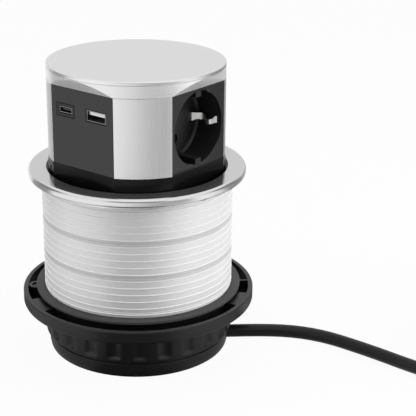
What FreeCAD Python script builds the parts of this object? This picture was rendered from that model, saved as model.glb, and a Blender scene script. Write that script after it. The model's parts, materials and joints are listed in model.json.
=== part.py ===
import FreeCAD, Part
import math
import os
import Sketcher

# Recessed pop-up socket: a round head with three earthed sockets and a USB face rises out of
# a guide barrel that hangs in a table top. Millimetres, +Z up, origin at the bottom centre.
# Directions round the Z axis are azimuths in degrees, 0 at the front (-Y), positive towards +X.

V = FreeCAD.Vector
os.makedirs("parts", exist_ok=True)
doc = FreeCAD.newDocument("recessed_socket")
sheet = doc.addObject("Spreadsheet::Sheet", "Sizes")


# Sizes: one cell each, with a formula-carrying value for the code below

class Dim:
    """A size with the sheet formula that gives it."""

    def __init__(self, value, formula):
        self.value = float(value)
        self.formula = formula

    def __add__(self, other):
        return Dim(self.value + num(other), "(%s + %s)" % (self.formula, text(other)))

    def __radd__(self, other):
        return Dim(num(other) + self.value, "(%s + %s)" % (text(other), self.formula))

    def __sub__(self, other):
        return Dim(self.value - num(other), "(%s - %s)" % (self.formula, text(other)))

    def __rsub__(self, other):
        return Dim(num(other) - self.value, "(%s - %s)" % (text(other), self.formula))

    def __mul__(self, other):
        return Dim(self.value * num(other), "(%s * %s)" % (self.formula, text(other)))

    def __rmul__(self, other):
        return Dim(num(other) * self.value, "(%s * %s)" % (text(other), self.formula))

    def __truediv__(self, other):
        return Dim(self.value / num(other), "(%s / %s)" % (self.formula, text(other)))

    def __neg__(self):
        return Dim(-self.value, "(0 - %s)" % self.formula)


def num(size):
    return size.value if isinstance(size, Dim) else float(size)


def text(size):
    return size.formula if isinstance(size, Dim) else repr(float(size))


def sine(angle):
    return Dim(math.sin(math.radians(num(angle))), "sin(%s)" % text(angle))


def cosine(angle):
    return Dim(math.cos(math.radians(num(angle))), "cos(%s)" % text(angle))


def at_azimuth(radius, azimuth):
    """X and Y of a point at a radius and an azimuth from the front."""
    return radius * sine(azimuth), -(radius * cosine(azimuth))


row_count = 0


def size(alias, value, note):
    global row_count
    row_count += 1
    sheet.set("A%d" % row_count, note)
    sheet.set("B%d" % row_count, str(value))
    sheet.setAlias("B%d" % row_count, alias)
    return Dim(value, "Sizes." + alias)


turn = size("head_turn", 3.7, "azimuth of the front corner panel, degrees")
quarter = 90.0

# Heights, from the floor up
travel = size("head_travel", 58.0, "head travel")
cap_rim_height = size("cap_rim_height", 7.7, "base cap rim height")
nut_travel = size("nut_travel", 2.0, "nut travel down to the base cap")
nut_rest_gap = size("nut_rest_gap", 0.1, "room left under the nut at the end of its travel")
nut_height = size("nut_height", 25.2, "lock nut height")
washer_height = size("washer_height", 1.75, "rubber washer thickness")
pressure_height = size("pressure_height", 3.05, "pressure ring height")
spacer_height = size("spacer_height", 19.6, "height of one spacer ring")
neck_height = size("neck_height", 3.5, "collar neck height")
collar_height = size("collar_height", 4.4, "collar height over the table")
head_proud = size("head_proud", 0.5, "how far the lowered head stands over the collar")
lid_height = size("lid_height", 1.65, "lid thickness")
lid_groove = size("lid_groove", 0.3, "shadow groove under the lid")
skirt_height = size("skirt_height", 6.55, "height of the cap ring under the lid")
face_height = size("face_height", 43.0, "height of the flat faces")
ring_height = size("ring_height", 18.5, "height of the lower ring of the head")
floor_height = size("floor_height", 3.0, "thickness of the head floor")

nut_low = cap_rim_height + nut_rest_gap + nut_travel
nut_top = nut_low + nut_height
washer_top = nut_top + washer_height
pressure_top = washer_top + pressure_height
stack_top = pressure_top + 3 * spacer_height
collar_low = stack_top + neck_height
collar_top = collar_low + collar_height
head_top = collar_top + head_proud + travel
lid_low = head_top - lid_height
groove_low = lid_low - lid_groove
skirt_low = groove_low - skirt_height
face_low = skirt_low - face_height
ring_low = face_low - ring_height
floor_low = ring_low - floor_height

# Wells for earthed plugs, which set the width of the flat faces
well_r = size("well_radius", 19.8, "socket well radius")
mouth_r = size("mouth_radius", 20.3, "radius of the well's mouth")
well_depth = size("well_depth", 17.0, "socket well depth")
well_floor = size("well_floor", 1.5, "thickness of the well's floor")
face_margin = size("face_margin", 1.3, "plate left beside the mouth of a well")
plate_gap = size("plate_gap", 0.25, "gap between face plates and corner panels")
plate_half = mouth_r + face_margin
chord = plate_half + plate_gap

# Radii of the head, and from them the radii of everything round it
head_r = size("head_radius", 48.5, "head radius")
flat_out = Dim(math.sqrt(num(head_r) ** 2 - num(chord) ** 2),
               "sqrt(%s * %s - %s * %s)" % (text(head_r), text(head_r), text(chord), text(chord)))
panel_angle = Dim(quarter - 2 * math.degrees(math.asin(num(chord) / num(head_r))),
                  "(90 - 2 * asin(%s / %s) / 1 deg)" % (text(chord), text(head_r)))
well_low = flat_out - well_depth
core_half = well_low - well_floor
panel_t = size("panel_thickness", 1.6, "corner panel thickness")
plate_t = size("plate_thickness", 3.0, "face plate thickness")
barrel_in = head_r + size("head_room", 0.7, "room between head and guide barrel")
barrel_wall = size("barrel_wall", 1.4, "guide barrel wall")
ring_gap = size("ring_gap", 0.3, "room between barrel and loose rings")
barrel_out = barrel_in + barrel_wall
ring_in = barrel_out + ring_gap
stack_r = ring_in + size("ring_wall", 2.2, "wall of the loose rings over their ribs")
washer_r = stack_r + size("washer_overhang", 4.8, "washer beyond the rings")
flange_r = washer_r + size("flange_overhang", 7.5, "lock nut flange beyond the washer")
collar_r = stack_r + size("collar_overhang", 7.0, "collar beyond the rings")
collar_bore = barrel_in + size("collar_step", 0.7, "collar bore beyond the barrel bore")
pad_gap = size("pad_gap", 0.3, "room between the guide pads and the barrel")
pad_r = barrel_in - pad_gap


# Modelling helpers

def origin_part(body, role):
    return [part for part in body.Origin.OriginFeatures if part.Role == role][0]


def new_body(label):
    body = doc.addObject("PartDesign::Body", label)
    body.Label = label
    return body


def sketch_on(body, role, name, level=0.0, spin=0.0):
    """A sketch on an origin plane, raised along its normal or turned about its upright axis."""
    sk = body.newObject("Sketcher::SketchObject", name)
    sk.AttachmentSupport = [(origin_part(body, role), "")]
    sk.MapMode = "FlatFace"
    upright = V(0, 1, 0)
    sk.AttachmentOffset = FreeCAD.Placement(V(0, 0, num(level)), FreeCAD.Rotation(upright, num(spin)))
    if isinstance(level, Dim):
        sk.setExpression("AttachmentOffset.Base.z", level.formula)
    if isinstance(spin, Dim):
        sk.setExpression("AttachmentOffset.Rotation.Angle", spin.formula)
    return sk


def hold(sk, geo, point, x, y):
    """Ties one point of the sketch to its two sizes."""
    for kind, want, axis in (("DistanceX", x, -2), ("DistanceY", y, -1)):
        if not isinstance(want, Dim) and want == 0:
            sk.addConstraint(Sketcher.Constraint("PointOnObject", geo, point, axis))
            continue
        index = sk.addConstraint(Sketcher.Constraint(kind, -1, 1, geo, point, num(want)))
        if isinstance(want, Dim):
            sk.setExpression("Constraints[%d]" % index, want.formula)


def outline(sk, corners):
    first = sk.GeometryCount
    count = len(corners)
    for i in range(count):
        here, there = corners[i], corners[(i + 1) % count]
        sk.addGeometry(Part.LineSegment(V(num(here[0]), num(here[1]), 0), V(num(there[0]), num(there[1]), 0)))
    for i in range(count):
        following = first + (i + 1) % count
        sk.addConstraint(Sketcher.Constraint("Coincident", first + i, 2, following, 1))
    for i in range(count):
        hold(sk, first + i, 1, corners[i][0], corners[i][1])


def circle(sk, x, y, radius):
    geo = sk.addGeometry(Part.Circle(V(num(x), num(y), 0), V(0, 0, 1), num(radius)))
    hold(sk, geo, 3, x, y)
    index = sk.addConstraint(Sketcher.Constraint("Radius", geo, num(radius)))
    if isinstance(radius, Dim):
        sk.setExpression("Constraints[%d]" % index, radius.formula)


def rectangle(x_low, y_low, x_high, y_high):
    return [(x_low, y_low), (x_high, y_low), (x_high, y_high), (x_low, y_high)]


def set_size(feature, prop, value):
    setattr(feature, prop, num(value))
    if isinstance(value, Dim):
        feature.setExpression(prop, value.formula)


def revolve(body, name, corners, angle=360.0, spin=0.0, kind="PartDesign::Revolution"):
    """Turns a radius and height outline about the Z axis, centred on its plane if not full."""
    sk = sketch_on(body, "XZ_Plane", name + "_profile", 0.0, spin)
    outline(sk, corners)
    feature = body.newObject(kind, name)
    feature.Profile = sk
    feature.ReferenceAxis = (sk, ["V_Axis"])
    set_size(feature, "Angle", angle)
    feature.Midplane = num(angle) < 360
    return feature


def pad(body, name, sk, length, both_sides=False, down=False):
    feature = body.newObject("PartDesign::Pad", name)
    feature.Profile = sk
    set_size(feature, "Length", length)
    feature.SideType = "Symmetric" if both_sides else "One side"
    feature.Reversed = down
    return feature


def pocket(body, name, sk, length, both_sides=False, up=False):
    """A pocket cuts against the sketch normal, or along it with up."""
    feature = body.newObject("PartDesign::Pocket", name)
    feature.Profile = sk
    set_size(feature, "Length", length)
    feature.SideType = "Symmetric" if both_sides else "One side"
    feature.Reversed = up
    return feature


def around(body, name, features, count):
    """Repeats features evenly about the Z axis."""
    feature = body.newObject("PartDesign::PolarPattern", name)
    feature.Originals = features
    feature.Axis = (origin_part(body, "Z_Axis"), [""])
    feature.Angle = 360
    feature.Occurrences = count
    body.Tip = feature
    return feature


def ring_edges(feature, places):
    """Names of the full or part circles about Z at the given radii and heights."""
    doc.recompute()
    names = []
    for i, edge in enumerate(feature.Shape.Edges):
        if not isinstance(edge.Curve, Part.Circle):
            continue
        for radius, height in places:
            near_r = abs(edge.Curve.Radius - num(radius)) < 0.01
            near_z = abs(edge.Curve.Center.z - num(height)) < 0.01
            if near_r and near_z and abs(edge.Curve.Axis.z) > 0.99:
                names.append("Edge%d" % (i + 1))
    return names


def soften(body, name, base, places, radius, kind="PartDesign::Fillet"):
    edges = ring_edges(base, places)
    feature = body.newObject(kind, name)
    feature.Base = (base, edges)
    set_size(feature, "Radius" if kind.endswith("Fillet") else "Size", radius)
    return feature


def turned(thing, azimuth):
    """Turns a piece that is drawn with its outward direction along X to an azimuth."""
    angle = azimuth - quarter
    thing.Placement = FreeCAD.Placement(V(0, 0, 0), FreeCAD.Rotation(V(0, 0, 1), num(angle)))
    if isinstance(angle, Dim):
        thing.setExpression("Placement.Rotation.Angle", text(angle))


def cylinder(name, radius, height, x=0.0, y=0.0, z=0.0, direction=V(0, 0, 1)):
    thing = doc.addObject("Part::Cylinder", name)
    set_size(thing, "Radius", radius)
    set_size(thing, "Height", height)
    place(thing, x, y, z, FreeCAD.Rotation(V(0, 0, 1), direction))
    return thing


def place(thing, x, y, z, rotation):
    thing.Placement = FreeCAD.Placement(V(num(x), num(y), num(z)), rotation)
    for axis, want in (("x", x), ("y", y), ("z", z)):
        if isinstance(want, Dim):
            thing.setExpression("Placement.Base.%s" % axis, want.formula)


def joined(name, things):
    thing = doc.addObject("Part::MultiFuse", name)
    thing.Shapes = things
    return thing


def cut(name, base, tool):
    thing = doc.addObject("Part::Cut", name)
    thing.Base = base
    thing.Tool = tool
    return thing


nodes = []


def node(thing, label):
    thing.Label = label
    nodes.append(thing)


# Table collar: stainless flange with a flat inner land and a domed rim, and a centring neck

def make_collar():
    land_r = stack_r + size("collar_land_overhang", 2.4, "flat land of the collar beyond the rings")
    edge_low = size("collar_edge_height", 1.3, "height of the collar's upright edge")
    dome_r = collar_r - size("collar_dome_inset", 1.5, "turn of the dome inside the collar's edge")
    dome_drop = size("collar_dome_drop", 0.9, "fall of the dome to that radius")
    bevel = size("collar_bevel", 0.5, "bevel under the collar's edge")
    body = new_body("collar")
    profile = [
        (stack_r, stack_top),
        (stack_r, collar_low),
        (collar_r - bevel, collar_low),
        (collar_r, collar_low + bevel),
        (collar_r, collar_low + edge_low),
        (dome_r, collar_top - dome_drop),
        (land_r, collar_top),
        (collar_bore, collar_top),
        (collar_bore, seat_top),
        (barrel_out + seat_gap, seat_top),
        (barrel_out + seat_gap, stack_top),
    ]
    revolve(body, "collar_turning", profile)
    node(body, "collar")


# The barrel's top end sits in the collar's bore, under its inner lip
seat_gap = size("seat_gap", 0.05, "glue gap round the barrel in the collar")
lip_height = size("collar_lip_height", 2.9, "height of the collar's inner lip over the barrel")
seat_top = collar_top - lip_height

# Fixings in the base
screw_r = size("screw_radius", 1.5, "radius of the small screws")
screw_head_r = size("screw_head_radius", 2.9, "radius of their countersunk heads")
pilot_r = size("pilot_radius", 1.5, "pilot bore of the small screws")
base_floor = size("base_floor", 2.5, "thickness of the base cap floor")
spigot_height = size("spigot_height", 4.3, "height of the base cap spigot in the barrel")
spigot_wall = size("spigot_wall", 2.0, "wall of that spigot")
spigot_gap = size("spigot_gap", 0.1, "room between spigot and barrel")
boss_out = barrel_in - size("boss_inset", 5.6, "base screws inside the barrel bore")
boss_r = size("boss_radius", 3.8, "radius of the screw bosses")
boss_low = size("boss_low", 12.0, "height where cap boss and barrel boss meet")
boss_top = size("boss_top", 23.0, "top of the barrel bosses")
rod_out = head_r - size("rod_inset", 10.0, "guide rods inside the head's surface")
rod_r = size("rod_radius", 2.5, "guide rod radius")
rod_boss_r = size("rod_boss_radius", 5.0, "radius of the rod bosses")
rod_boss_top = size("rod_boss_top", 14.0, "top of the rod bosses")
rod_low = size("rod_low", 3.5, "bottom of the guide rods")
rod_fit = size("rod_fit", 0.06, "running room of the rods in the head floor")
clip_t = size("clip_thickness", 1.5, "thickness of the stop rings on the rods")
clip_r = size("clip_radius", 4.4, "radius of the stop rings")
rod_over = size("rod_over", 7.0, "length of rod over the stop rings")
rod_top = ring_low + clip_t + rod_over

# The cord's exit
cord_r = size("cord_radius", 3.7, "cord radius")
cord_y = -4.1
cord_gap = size("cord_gap", 0.25, "room round the cord in its notch")
notch_in = size("notch_inner_end", 27.0, "inner end of the cord notch")


def make_barrel():
    body = new_body("guide_barrel")
    profile = [
        (barrel_in, cap_rim_height),
        (barrel_out, cap_rim_height),
        (barrel_out, seat_top),
        (barrel_in, seat_top),
    ]
    revolve(body, "barrel_tube", profile)
    bosses = sketch_on(body, "XY_Plane", "barrel_boss_sketch", boss_low)
    root_half = boss_r - size("boss_web_inset", 0.76, "boss webs inside the bosses' width")
    outline(bosses, rectangle(boss_out, -root_half, barrel_in + barrel_wall / 2, root_half))
    web = pad(body, "barrel_boss_web", bosses, boss_top - boss_low)
    rounds = sketch_on(body, "XY_Plane", "barrel_boss_round", boss_low)
    circle(rounds, boss_out, 0, boss_r)
    post = pad(body, "barrel_boss_post", rounds, boss_top - boss_low)
    drills = sketch_on(body, "XY_Plane", "barrel_pilot_sketch", boss_low)
    circle(drills, boss_out, 0, pilot_r)
    pilot = pocket(body, "barrel_pilot", drills, boss_top - boss_low, up=True)
    around(body, "barrel_bosses", [web, post, pilot], 4)
    turned(body, turn + quarter / 2)
    node(body, "guide_barrel")


def make_base_cap():
    rim_r = stack_r - size("base_inset", 0.2, "base cap inside the rings' surface")
    edge_r = rim_r - size("base_edge_inset", 2.3, "taper of the base cap's edge")
    edge_height = size("base_edge_height", 2.7, "height of the base cap's tapered edge")
    foot_bevel = size("base_foot_bevel", 0.5, "height of the bevel under the base cap")
    foot_run = size("base_foot_run", 0.8, "width of that bevel")
    body = new_body("base_cap")
    spigot_r = barrel_in - spigot_gap
    profile = [
        (0.0, 0.0),
        (edge_r - foot_run, 0.0),
        (edge_r, foot_bevel),
        (rim_r, edge_height),
        (rim_r, cap_rim_height),
        (spigot_r, cap_rim_height),
        (spigot_r, cap_rim_height + spigot_height),
        (spigot_r - spigot_wall, cap_rim_height + spigot_height),
        (spigot_r - spigot_wall, base_floor),
        (0.0, base_floor),
    ]
    revolve(body, "base_shell", profile)
    posts = sketch_on(body, "XY_Plane", "base_post_sketch", base_floor)
    for k in range(4):
        x, y = at_azimuth(boss_out, turn + quarter * (k + 0.5))
        circle(posts, x, y, boss_r)
    pad(body, "base_posts", posts, boss_low - base_floor)
    seats = sketch_on(body, "XY_Plane", "rod_seat_sketch", base_floor)
    for k in (0, 2):
        x, y = at_azimuth(rod_out, turn + quarter * k)
        circle(seats, x, y, rod_boss_r)
    pad(body, "rod_seats", seats, rod_boss_top - base_floor)
    holes = sketch_on(body, "XY_Plane", "rod_hole_sketch", rod_boss_top)
    for k in (0, 2):
        x, y = at_azimuth(rod_out, turn + quarter * k)
        circle(holes, x, y, rod_r)
    pocket(body, "rod_holes", holes, rod_boss_top - rod_low)
    through = sketch_on(body, "XY_Plane", "base_drill_sketch", 0.0)
    sinks = sketch_on(body, "XY_Plane", "base_sink_sketch", 0.0)
    for k in range(4):
        x, y = at_azimuth(boss_out, turn + quarter * (k + 0.5))
        circle(through, x, y, screw_r)
        circle(sinks, x, y, screw_head_r)
    pocket(body, "base_drills", through, boss_low, up=True)
    pocket(body, "base_sinks", sinks, screw_head_t + screw_sunk, up=True)
    notch = sketch_on(body, "XY_Plane", "cord_notch_sketch", 0.0)
    half = cord_r + cord_gap
    outline(notch, rectangle(notch_in, cord_y - half, rim_r + 1, cord_y + half))
    pocket(body, "cord_notch", notch, cap_rim_height, up=True)
    node(body, "base_cap")


screw_head_t = size("screw_head_height", 1.6, "height of the small screw heads")
screw_sunk = size("screw_sunk", 0.4, "how deep the heads are sunk")
screw_end_gap = size("screw_end_gap", 2.0, "base screws end under the top of their bosses")


def make_base_screws():
    length = boss_top - screw_sunk - screw_end_gap
    things = []
    for k in range(4):
        x, y = at_azimuth(boss_out, turn + quarter * (k + 0.5))
        shank = cylinder("base_screw_shank_%d" % k, screw_r, length, x, y, screw_sunk)
        head = cylinder("base_screw_head_%d" % k, screw_head_r, screw_head_t, x, y, screw_sunk)
        things.append(joined("base_screw_%d" % k, [shank, head]))
    group = doc.addObject("Part::Compound", "base_screws")
    group.Links = things
    node(group, "base_screws")


def make_rods():
    for label, k in (("guide_rod_front", 0), ("guide_rod_rear", 2)):
        x, y = at_azimuth(rod_out, turn + quarter * k)
        node(cylinder(label, rod_r, rod_top - rod_low, x, y, rod_low), label)
    clips = []
    for k in (0, 2):
        x, y = at_azimuth(rod_out, turn + quarter * k)
        disc = cylinder("clip_disc_%d" % k, clip_r, clip_t, x, y, ring_low)
        hole = cylinder("clip_hole_%d" % k, rod_r, clip_t, x, y, ring_low)
        clips.append(cut("clip_%d" % k, disc, hole))
    group = doc.addObject("Part::Compound", "rod_stop_rings")
    group.Links = clips
    node(group, "rod_stop_rings")


def make_springs():
    outer = size("spring_outer_radius", 4.6, "lift spring outer radius")
    inner = size("spring_inner_radius", 3.4, "lift spring inner radius")
    for label, k in (("lift_spring_front", 0), ("lift_spring_rear", 2)):
        x, y = at_azimuth(rod_out, turn + quarter * k)
        body = cylinder(label + "_outside", outer, floor_low - rod_boss_top, x, y, rod_boss_top)
        bore = cylinder(label + "_bore", inner, floor_low - rod_boss_top, x, y, rod_boss_top)
        node(cut(label, body, bore), label)


# Clamp stack: three ribbed spacer rings, a pressure ring and the rubber washer

def spacer_profile(low, height, ribs, pitch, first):
    rib = size_of_rib
    ridge_half = size_of_rib_root
    wall_r = stack_r - rib
    corners = [(ring_in, low), (wall_r - rib, low), (wall_r, low + rib)]
    for k in range(ribs):
        middle = low + first + k * pitch
        corners.append((wall_r, middle - ridge_half))
        corners.append((stack_r, middle - ridge_half / 3))
        corners.append((stack_r, middle + ridge_half / 3))
        corners.append((wall_r, middle + ridge_half))
    top = low + height
    corners.extend([(wall_r, top - rib), (wall_r - rib, top), (ring_in, top)])
    return corners


size_of_rib = size("rib_height", 0.4, "height of a rib on the spacer rings")
size_of_rib_root = size("rib_root_half", 0.64, "half width of a rib at its root")


def make_stack():
    pitch = size("rib_pitch", 3.95, "distance between ribs")
    first = size("rib_first", 2.0, "height of the lowest rib on a ring")
    names = ("spacer_ring_lower", "spacer_ring_middle", "spacer_ring_upper")
    for k, label in enumerate(names):
        body = new_body(label)
        low = pressure_top + k * spacer_height
        revolve(body, label + "_turning", spacer_profile(low, spacer_height, 5, pitch, first))
        node(body, label)
    seat = size("washer_seat", 0.25, "depth of the pressure ring's seat in the washer")
    seat_gap = size("washer_seat_gap", 0.3, "room round the pressure ring in its seat")
    body = new_body("pressure_ring")
    pressure_low = washer_top - seat
    profile = spacer_profile(pressure_low, pressure_height + seat, 1, pitch, pressure_height / 2 + seat)
    revolve(body, "pressure_turning", profile)
    node(body, "pressure_ring")
    body = new_body("rubber_washer")
    bevel = size("washer_bevel", 0.35, "bevel on the washer's rim")
    profile = [
        (ring_in, nut_top),
        (washer_r, nut_top),
        (washer_r, washer_top - bevel),
        (washer_r - bevel, washer_top),
        (stack_r + seat_gap, washer_top),
        (stack_r + seat_gap, pressure_low),
        (ring_in, pressure_low),
    ]
    revolve(body, "washer_turning", profile)
    node(body, "rubber_washer")


# Lock nut: bored sleeve with a fluted grip, and a wide flange with an open channel on top.
# Middles of the lugs, webs and screw towers in the channel, in degrees from the front.
lug_azimuths = (-63.5, 67.5, 180.0)
web_azimuths = (92.0, -150.0)
tower_azimuths = (-90.0, 150.0)

def make_nut():
    rim_top = nut_top - size("nut_rim_drop", 0.8, "rim of the nut below its hub")
    rim_low = rim_top - size("nut_rim_height", 6.8, "height of the flange's upright edge")
    cone_low = rim_low - size("nut_cone_height", 4.65, "height of the cone under the flange")
    rim_in = flange_r - size("nut_rim_wall", 2.7, "wall round the channel")
    hub_r = washer_r - size("nut_hub_inset", 2.3, "hub inside the washer's edge")
    depth = size("nut_channel_depth", 6.2, "depth of the channel")
    channel_low = rim_top - depth
    lip = size("nut_lip", 1.2, "plain lip under the flutes")
    flute_r = size("flute_radius", 6.5, "radius of a grip flute")
    flute_depth = size("flute_depth", 1.2, "depth of a grip flute")
    flute_over = size("flute_run_out", 0.9, "how far the flutes run out into the cone")
    edge = size("nut_edge", 0.6, "bevel of the nut's lower edges")
    rim_edge = size("nut_rim_edge", 0.5, "bevel of the flange's upper edge")
    body = new_body("lock_nut")
    profile = [
        (ring_in, nut_low),
        (stack_r - edge, nut_low),
        (stack_r, nut_low + edge),
        (stack_r, cone_low),
        (flange_r - edge, rim_low),
        (flange_r, rim_low + edge),
        (flange_r, rim_top - rim_edge),
        (flange_r - rim_edge, rim_top),
        (rim_in, rim_top),
        (rim_in, channel_low),
        (hub_r, channel_low),
        (hub_r, nut_top),
        (ring_in, nut_top),
    ]
    revolve(body, "nut_turning", profile)
    flutes = sketch_on(body, "XY_Plane", "flute_sketch", nut_low + lip)
    circle(flutes, stack_r + flute_r - flute_depth, 0, flute_r)
    flute = pocket(body, "flute", flutes, cone_low - nut_low - lip + flute_over, up=True)
    around(body, "flutes", [flute], 24)
    lug_angle = size("lug_angle", 16.0, "width of the solid lugs, degrees")
    web_angle = size("web_angle", 1.3, "width of the thin webs, degrees")
    lug_drop = size("lug_drop", 0.6, "lugs and webs below the rim")
    overlap = size("nut_block_overlap", 0.5, "how far lugs and webs reach into the walls")
    block = rectangle(hub_r - overlap, channel_low - overlap, rim_in + overlap, rim_top - lug_drop)
    for k, azimuth in enumerate(lug_azimuths):
        revolve(body, "lug_%d" % k, block, lug_angle, azimuth - quarter)
    for k, azimuth in enumerate(web_azimuths):
        revolve(body, "web_%d" % k, block, web_angle, azimuth - quarter)
    tower_r = size("tower_radius", 4.6, "radius of the round screw towers in the channel")
    bore_r = size("tower_bore_radius", 2.6, "bore of those towers")
    towers = sketch_on(body, "XY_Plane", "tower_sketch", channel_low - overlap)
    bores = sketch_on(body, "XY_Plane", "tower_bore_sketch", rim_top - lug_drop / 2)
    for azimuth in tower_azimuths:
        x, y = at_azimuth(rim_in - tower_r, azimuth)
        circle(towers, x, y, tower_r)
        circle(bores, x, y, bore_r)
    pad(body, "towers", towers, depth - lug_drop / 2 + overlap)
    pocket(body, "tower_bores", bores, depth - lug_drop / 2)
    trims = sketch_on(body, "XY_Plane", "hub_bore_sketch", nut_low)
    circle(trims, 0.0, 0.0, ring_in)
    pocket(body, "hub_bore", trims, nut_height, up=True)
    node(body, "lock_nut")


# Head floor, lower ring and core

def tie_screw_places():
    return [at_azimuth(tie_out, turn + quarter * k) for k in range(4)]


core_cut = size("core_corner_cut", 6.0, "bevel of the core's corners")
diagonal = math.sqrt(0.5)
tie_inset = size("tie_inset", 5.83, "tie screws inside the core's bevelled corners")
tie_out = (core_half * 2 - core_cut) * diagonal - tie_inset
tie_r = size("tie_radius", 1.75, "tie screw radius")
tie_head_r = size("tie_head_radius", 3.3, "tie screw head radius")
tie_head_t = size("tie_head_height", 1.8, "tie screw head height")
lead_r = size("lead_radius", 10.0, "outer radius of the coiled lead")
lead_bore = size("lead_bore", 6.5, "inner radius of the coiled lead")
core_wall = size("core_wall", 2.2, "core wall")


def make_head_floor():
    body = new_body("head_floor")
    floor_r = head_r - size("head_floor_inset", 0.7, "head floor inside the head's surface")
    sk = sketch_on(body, "XY_Plane", "head_floor_sketch", floor_low)
    circle(sk, 0.0, 0.0, floor_r)
    circle(sk, 0.0, 0.0, lead_bore)
    for k in (0, 2):
        x, y = at_azimuth(rod_out, turn + quarter * k)
        circle(sk, x, y, rod_r + rod_fit)
    for x, y in tie_screw_places():
        circle(sk, x, y, tie_r)
    pad(body, "head_floor_plate", sk, floor_height)
    sinks = sketch_on(body, "XY_Plane", "tie_sink_sketch", floor_low)
    for x, y in tie_screw_places():
        circle(sinks, x, y, tie_head_r)
    pocket(body, "tie_sinks", sinks, tie_head_t, up=True)
    node(body, "head_floor")


def make_lower_ring():
    flats_height = size("flats_height", 14.5, "height of the flats on the lower ring")
    bore_r = head_r - size("lower_ring_wall", 7.5, "lower ring wall")
    pad_angle = size("pad_angle", 25.0, "width of a guide pad, degrees")
    pad_top_drop = size("pad_top_drop", 3.5, "guide pads end below the faces")
    rod_room = size("rod_room", 5.2, "radius of the rod channels in the lower ring")
    body = new_body("lower_ring")
    disc = sketch_on(body, "XY_Plane", "lower_ring_sketch", ring_low)
    circle(disc, 0.0, 0.0, head_r)
    pad(body, "lower_ring_disc", disc, ring_height)
    runner_profile = rectangle(head_r - 1, ring_low, pad_r, face_low - pad_top_drop)
    runner = revolve(body, "guide_pad", runner_profile, pad_angle)
    around(body, "guide_pads", [runner], 4)
    side = sketch_on(body, "XZ_Plane", "flat_sketch", 0.0, quarter / 2)
    outline(side, rectangle(flat_out, face_low - flats_height, head_r + 2, face_low + 1))
    flat = pocket(body, "flat", side, head_r, both_sides=True)
    around(body, "flats", [flat], 4)
    hollow = sketch_on(body, "XY_Plane", "lower_ring_bore_sketch", ring_low)
    circle(hollow, 0.0, 0.0, bore_r)
    pocket(body, "lower_ring_hollow", hollow, ring_height, up=True)
    channels = sketch_on(body, "XY_Plane", "rod_channel_sketch", ring_low)
    circle(channels, rod_out, 0.0, rod_room)
    circle(channels, -rod_out, 0.0, rod_room)
    pocket(body, "rod_channels", channels, ring_height, up=True)
    turned(body, turn)
    node(body, "lower_ring")


def make_core():
    post_r = size("core_post_radius", 4.0, "radius of the tie screw posts")
    window_half = size("window_half_width", 7.0, "half width of the contact windows")
    window_half_height = size("window_half_height", 16.0, "half height of the contact windows")
    height = skirt_low - ring_low
    body = new_body("head_core")
    sk = sketch_on(body, "XY_Plane", "core_sketch", ring_low)
    a, b = core_half, core_half - core_cut
    outline(sk, [(a, -b), (a, b), (b, a), (-b, a), (-a, b), (-a, -b), (-b, -a), (b, -a)])
    pad(body, "core_block", sk, height)
    hollow = sketch_on(body, "XY_Plane", "core_hollow_sketch", ring_low)
    c = core_half - core_wall
    d = c - core_cut
    outline(hollow, [(c, -d), (c, d), (d, c), (-d, c), (-c, d), (-c, -d), (-d, -c), (d, -c)])
    pocket(body, "core_hollow", hollow, height, up=True)
    posts = sketch_on(body, "XY_Plane", "core_post_sketch", ring_low)
    half_out = tie_out * diagonal
    circle(posts, half_out, half_out, post_r)
    post = pad(body, "core_post", posts, height)
    drills = sketch_on(body, "XY_Plane", "core_drill_sketch", ring_low)
    circle(drills, half_out, half_out, tie_r)
    drill = pocket(body, "core_drill", drills, height, up=True)
    around(body, "core_posts", [post, drill], 4)
    side = sketch_on(body, "XZ_Plane", "window_sketch", 0.0, quarter)
    window_low = socket_z - window_half_height
    window_high = socket_z + window_half_height
    outline(side, rectangle(-window_half, window_low, window_half, window_high))
    pocket(body, "contact_windows", side, core_half * 2 + 2, both_sides=True)
    across = sketch_on(body, "XZ_Plane", "cross_window_sketch", 0.0)
    outline(across, rectangle(-window_half, window_low, window_half, window_high))
    pocket(body, "cross_windows", across, core_half * 2 + 2, both_sides=True)
    strip_half = clip_root + clip_sheet + clip_slot_gap
    strip_half_height = clip_width / 2 + clip_slot_gap
    for name, spin in (("strip_slots", quarter), ("cross_strip_slots", 0.0)):
        slots = sketch_on(body, "XZ_Plane", name + "_sketch", 0.0, spin)
        low, high = socket_z - strip_half_height, socket_z + strip_half_height
        outline(slots, rectangle(-strip_half, low, strip_half, high))
        pocket(body, name, slots, core_half * 2 + 2, both_sides=True)
    turned(body, turn + quarter / 2)
    node(body, "head_core")


def make_tie_screws():
    things = []
    length = groove_low - tie_end_gap - floor_low
    for k, (x, y) in enumerate(tie_screw_places()):
        shank = cylinder("tie_shank_%d" % k, tie_r, length, x, y, floor_low)
        head = cylinder("tie_head_%d" % k, tie_head_r, tie_head_t, x, y, floor_low)
        things.append(joined("tie_screw_%d" % k, [shank, head]))
    group = doc.addObject("Part::Compound", "tie_screws")
    group.Links = things
    node(group, "tie_screws")


tie_end_gap = size("tie_end_gap", 1.5, "tie screws end under the lid")


# Cap: a lid over a ring whose skirt is bevelled away above each flat face

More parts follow.
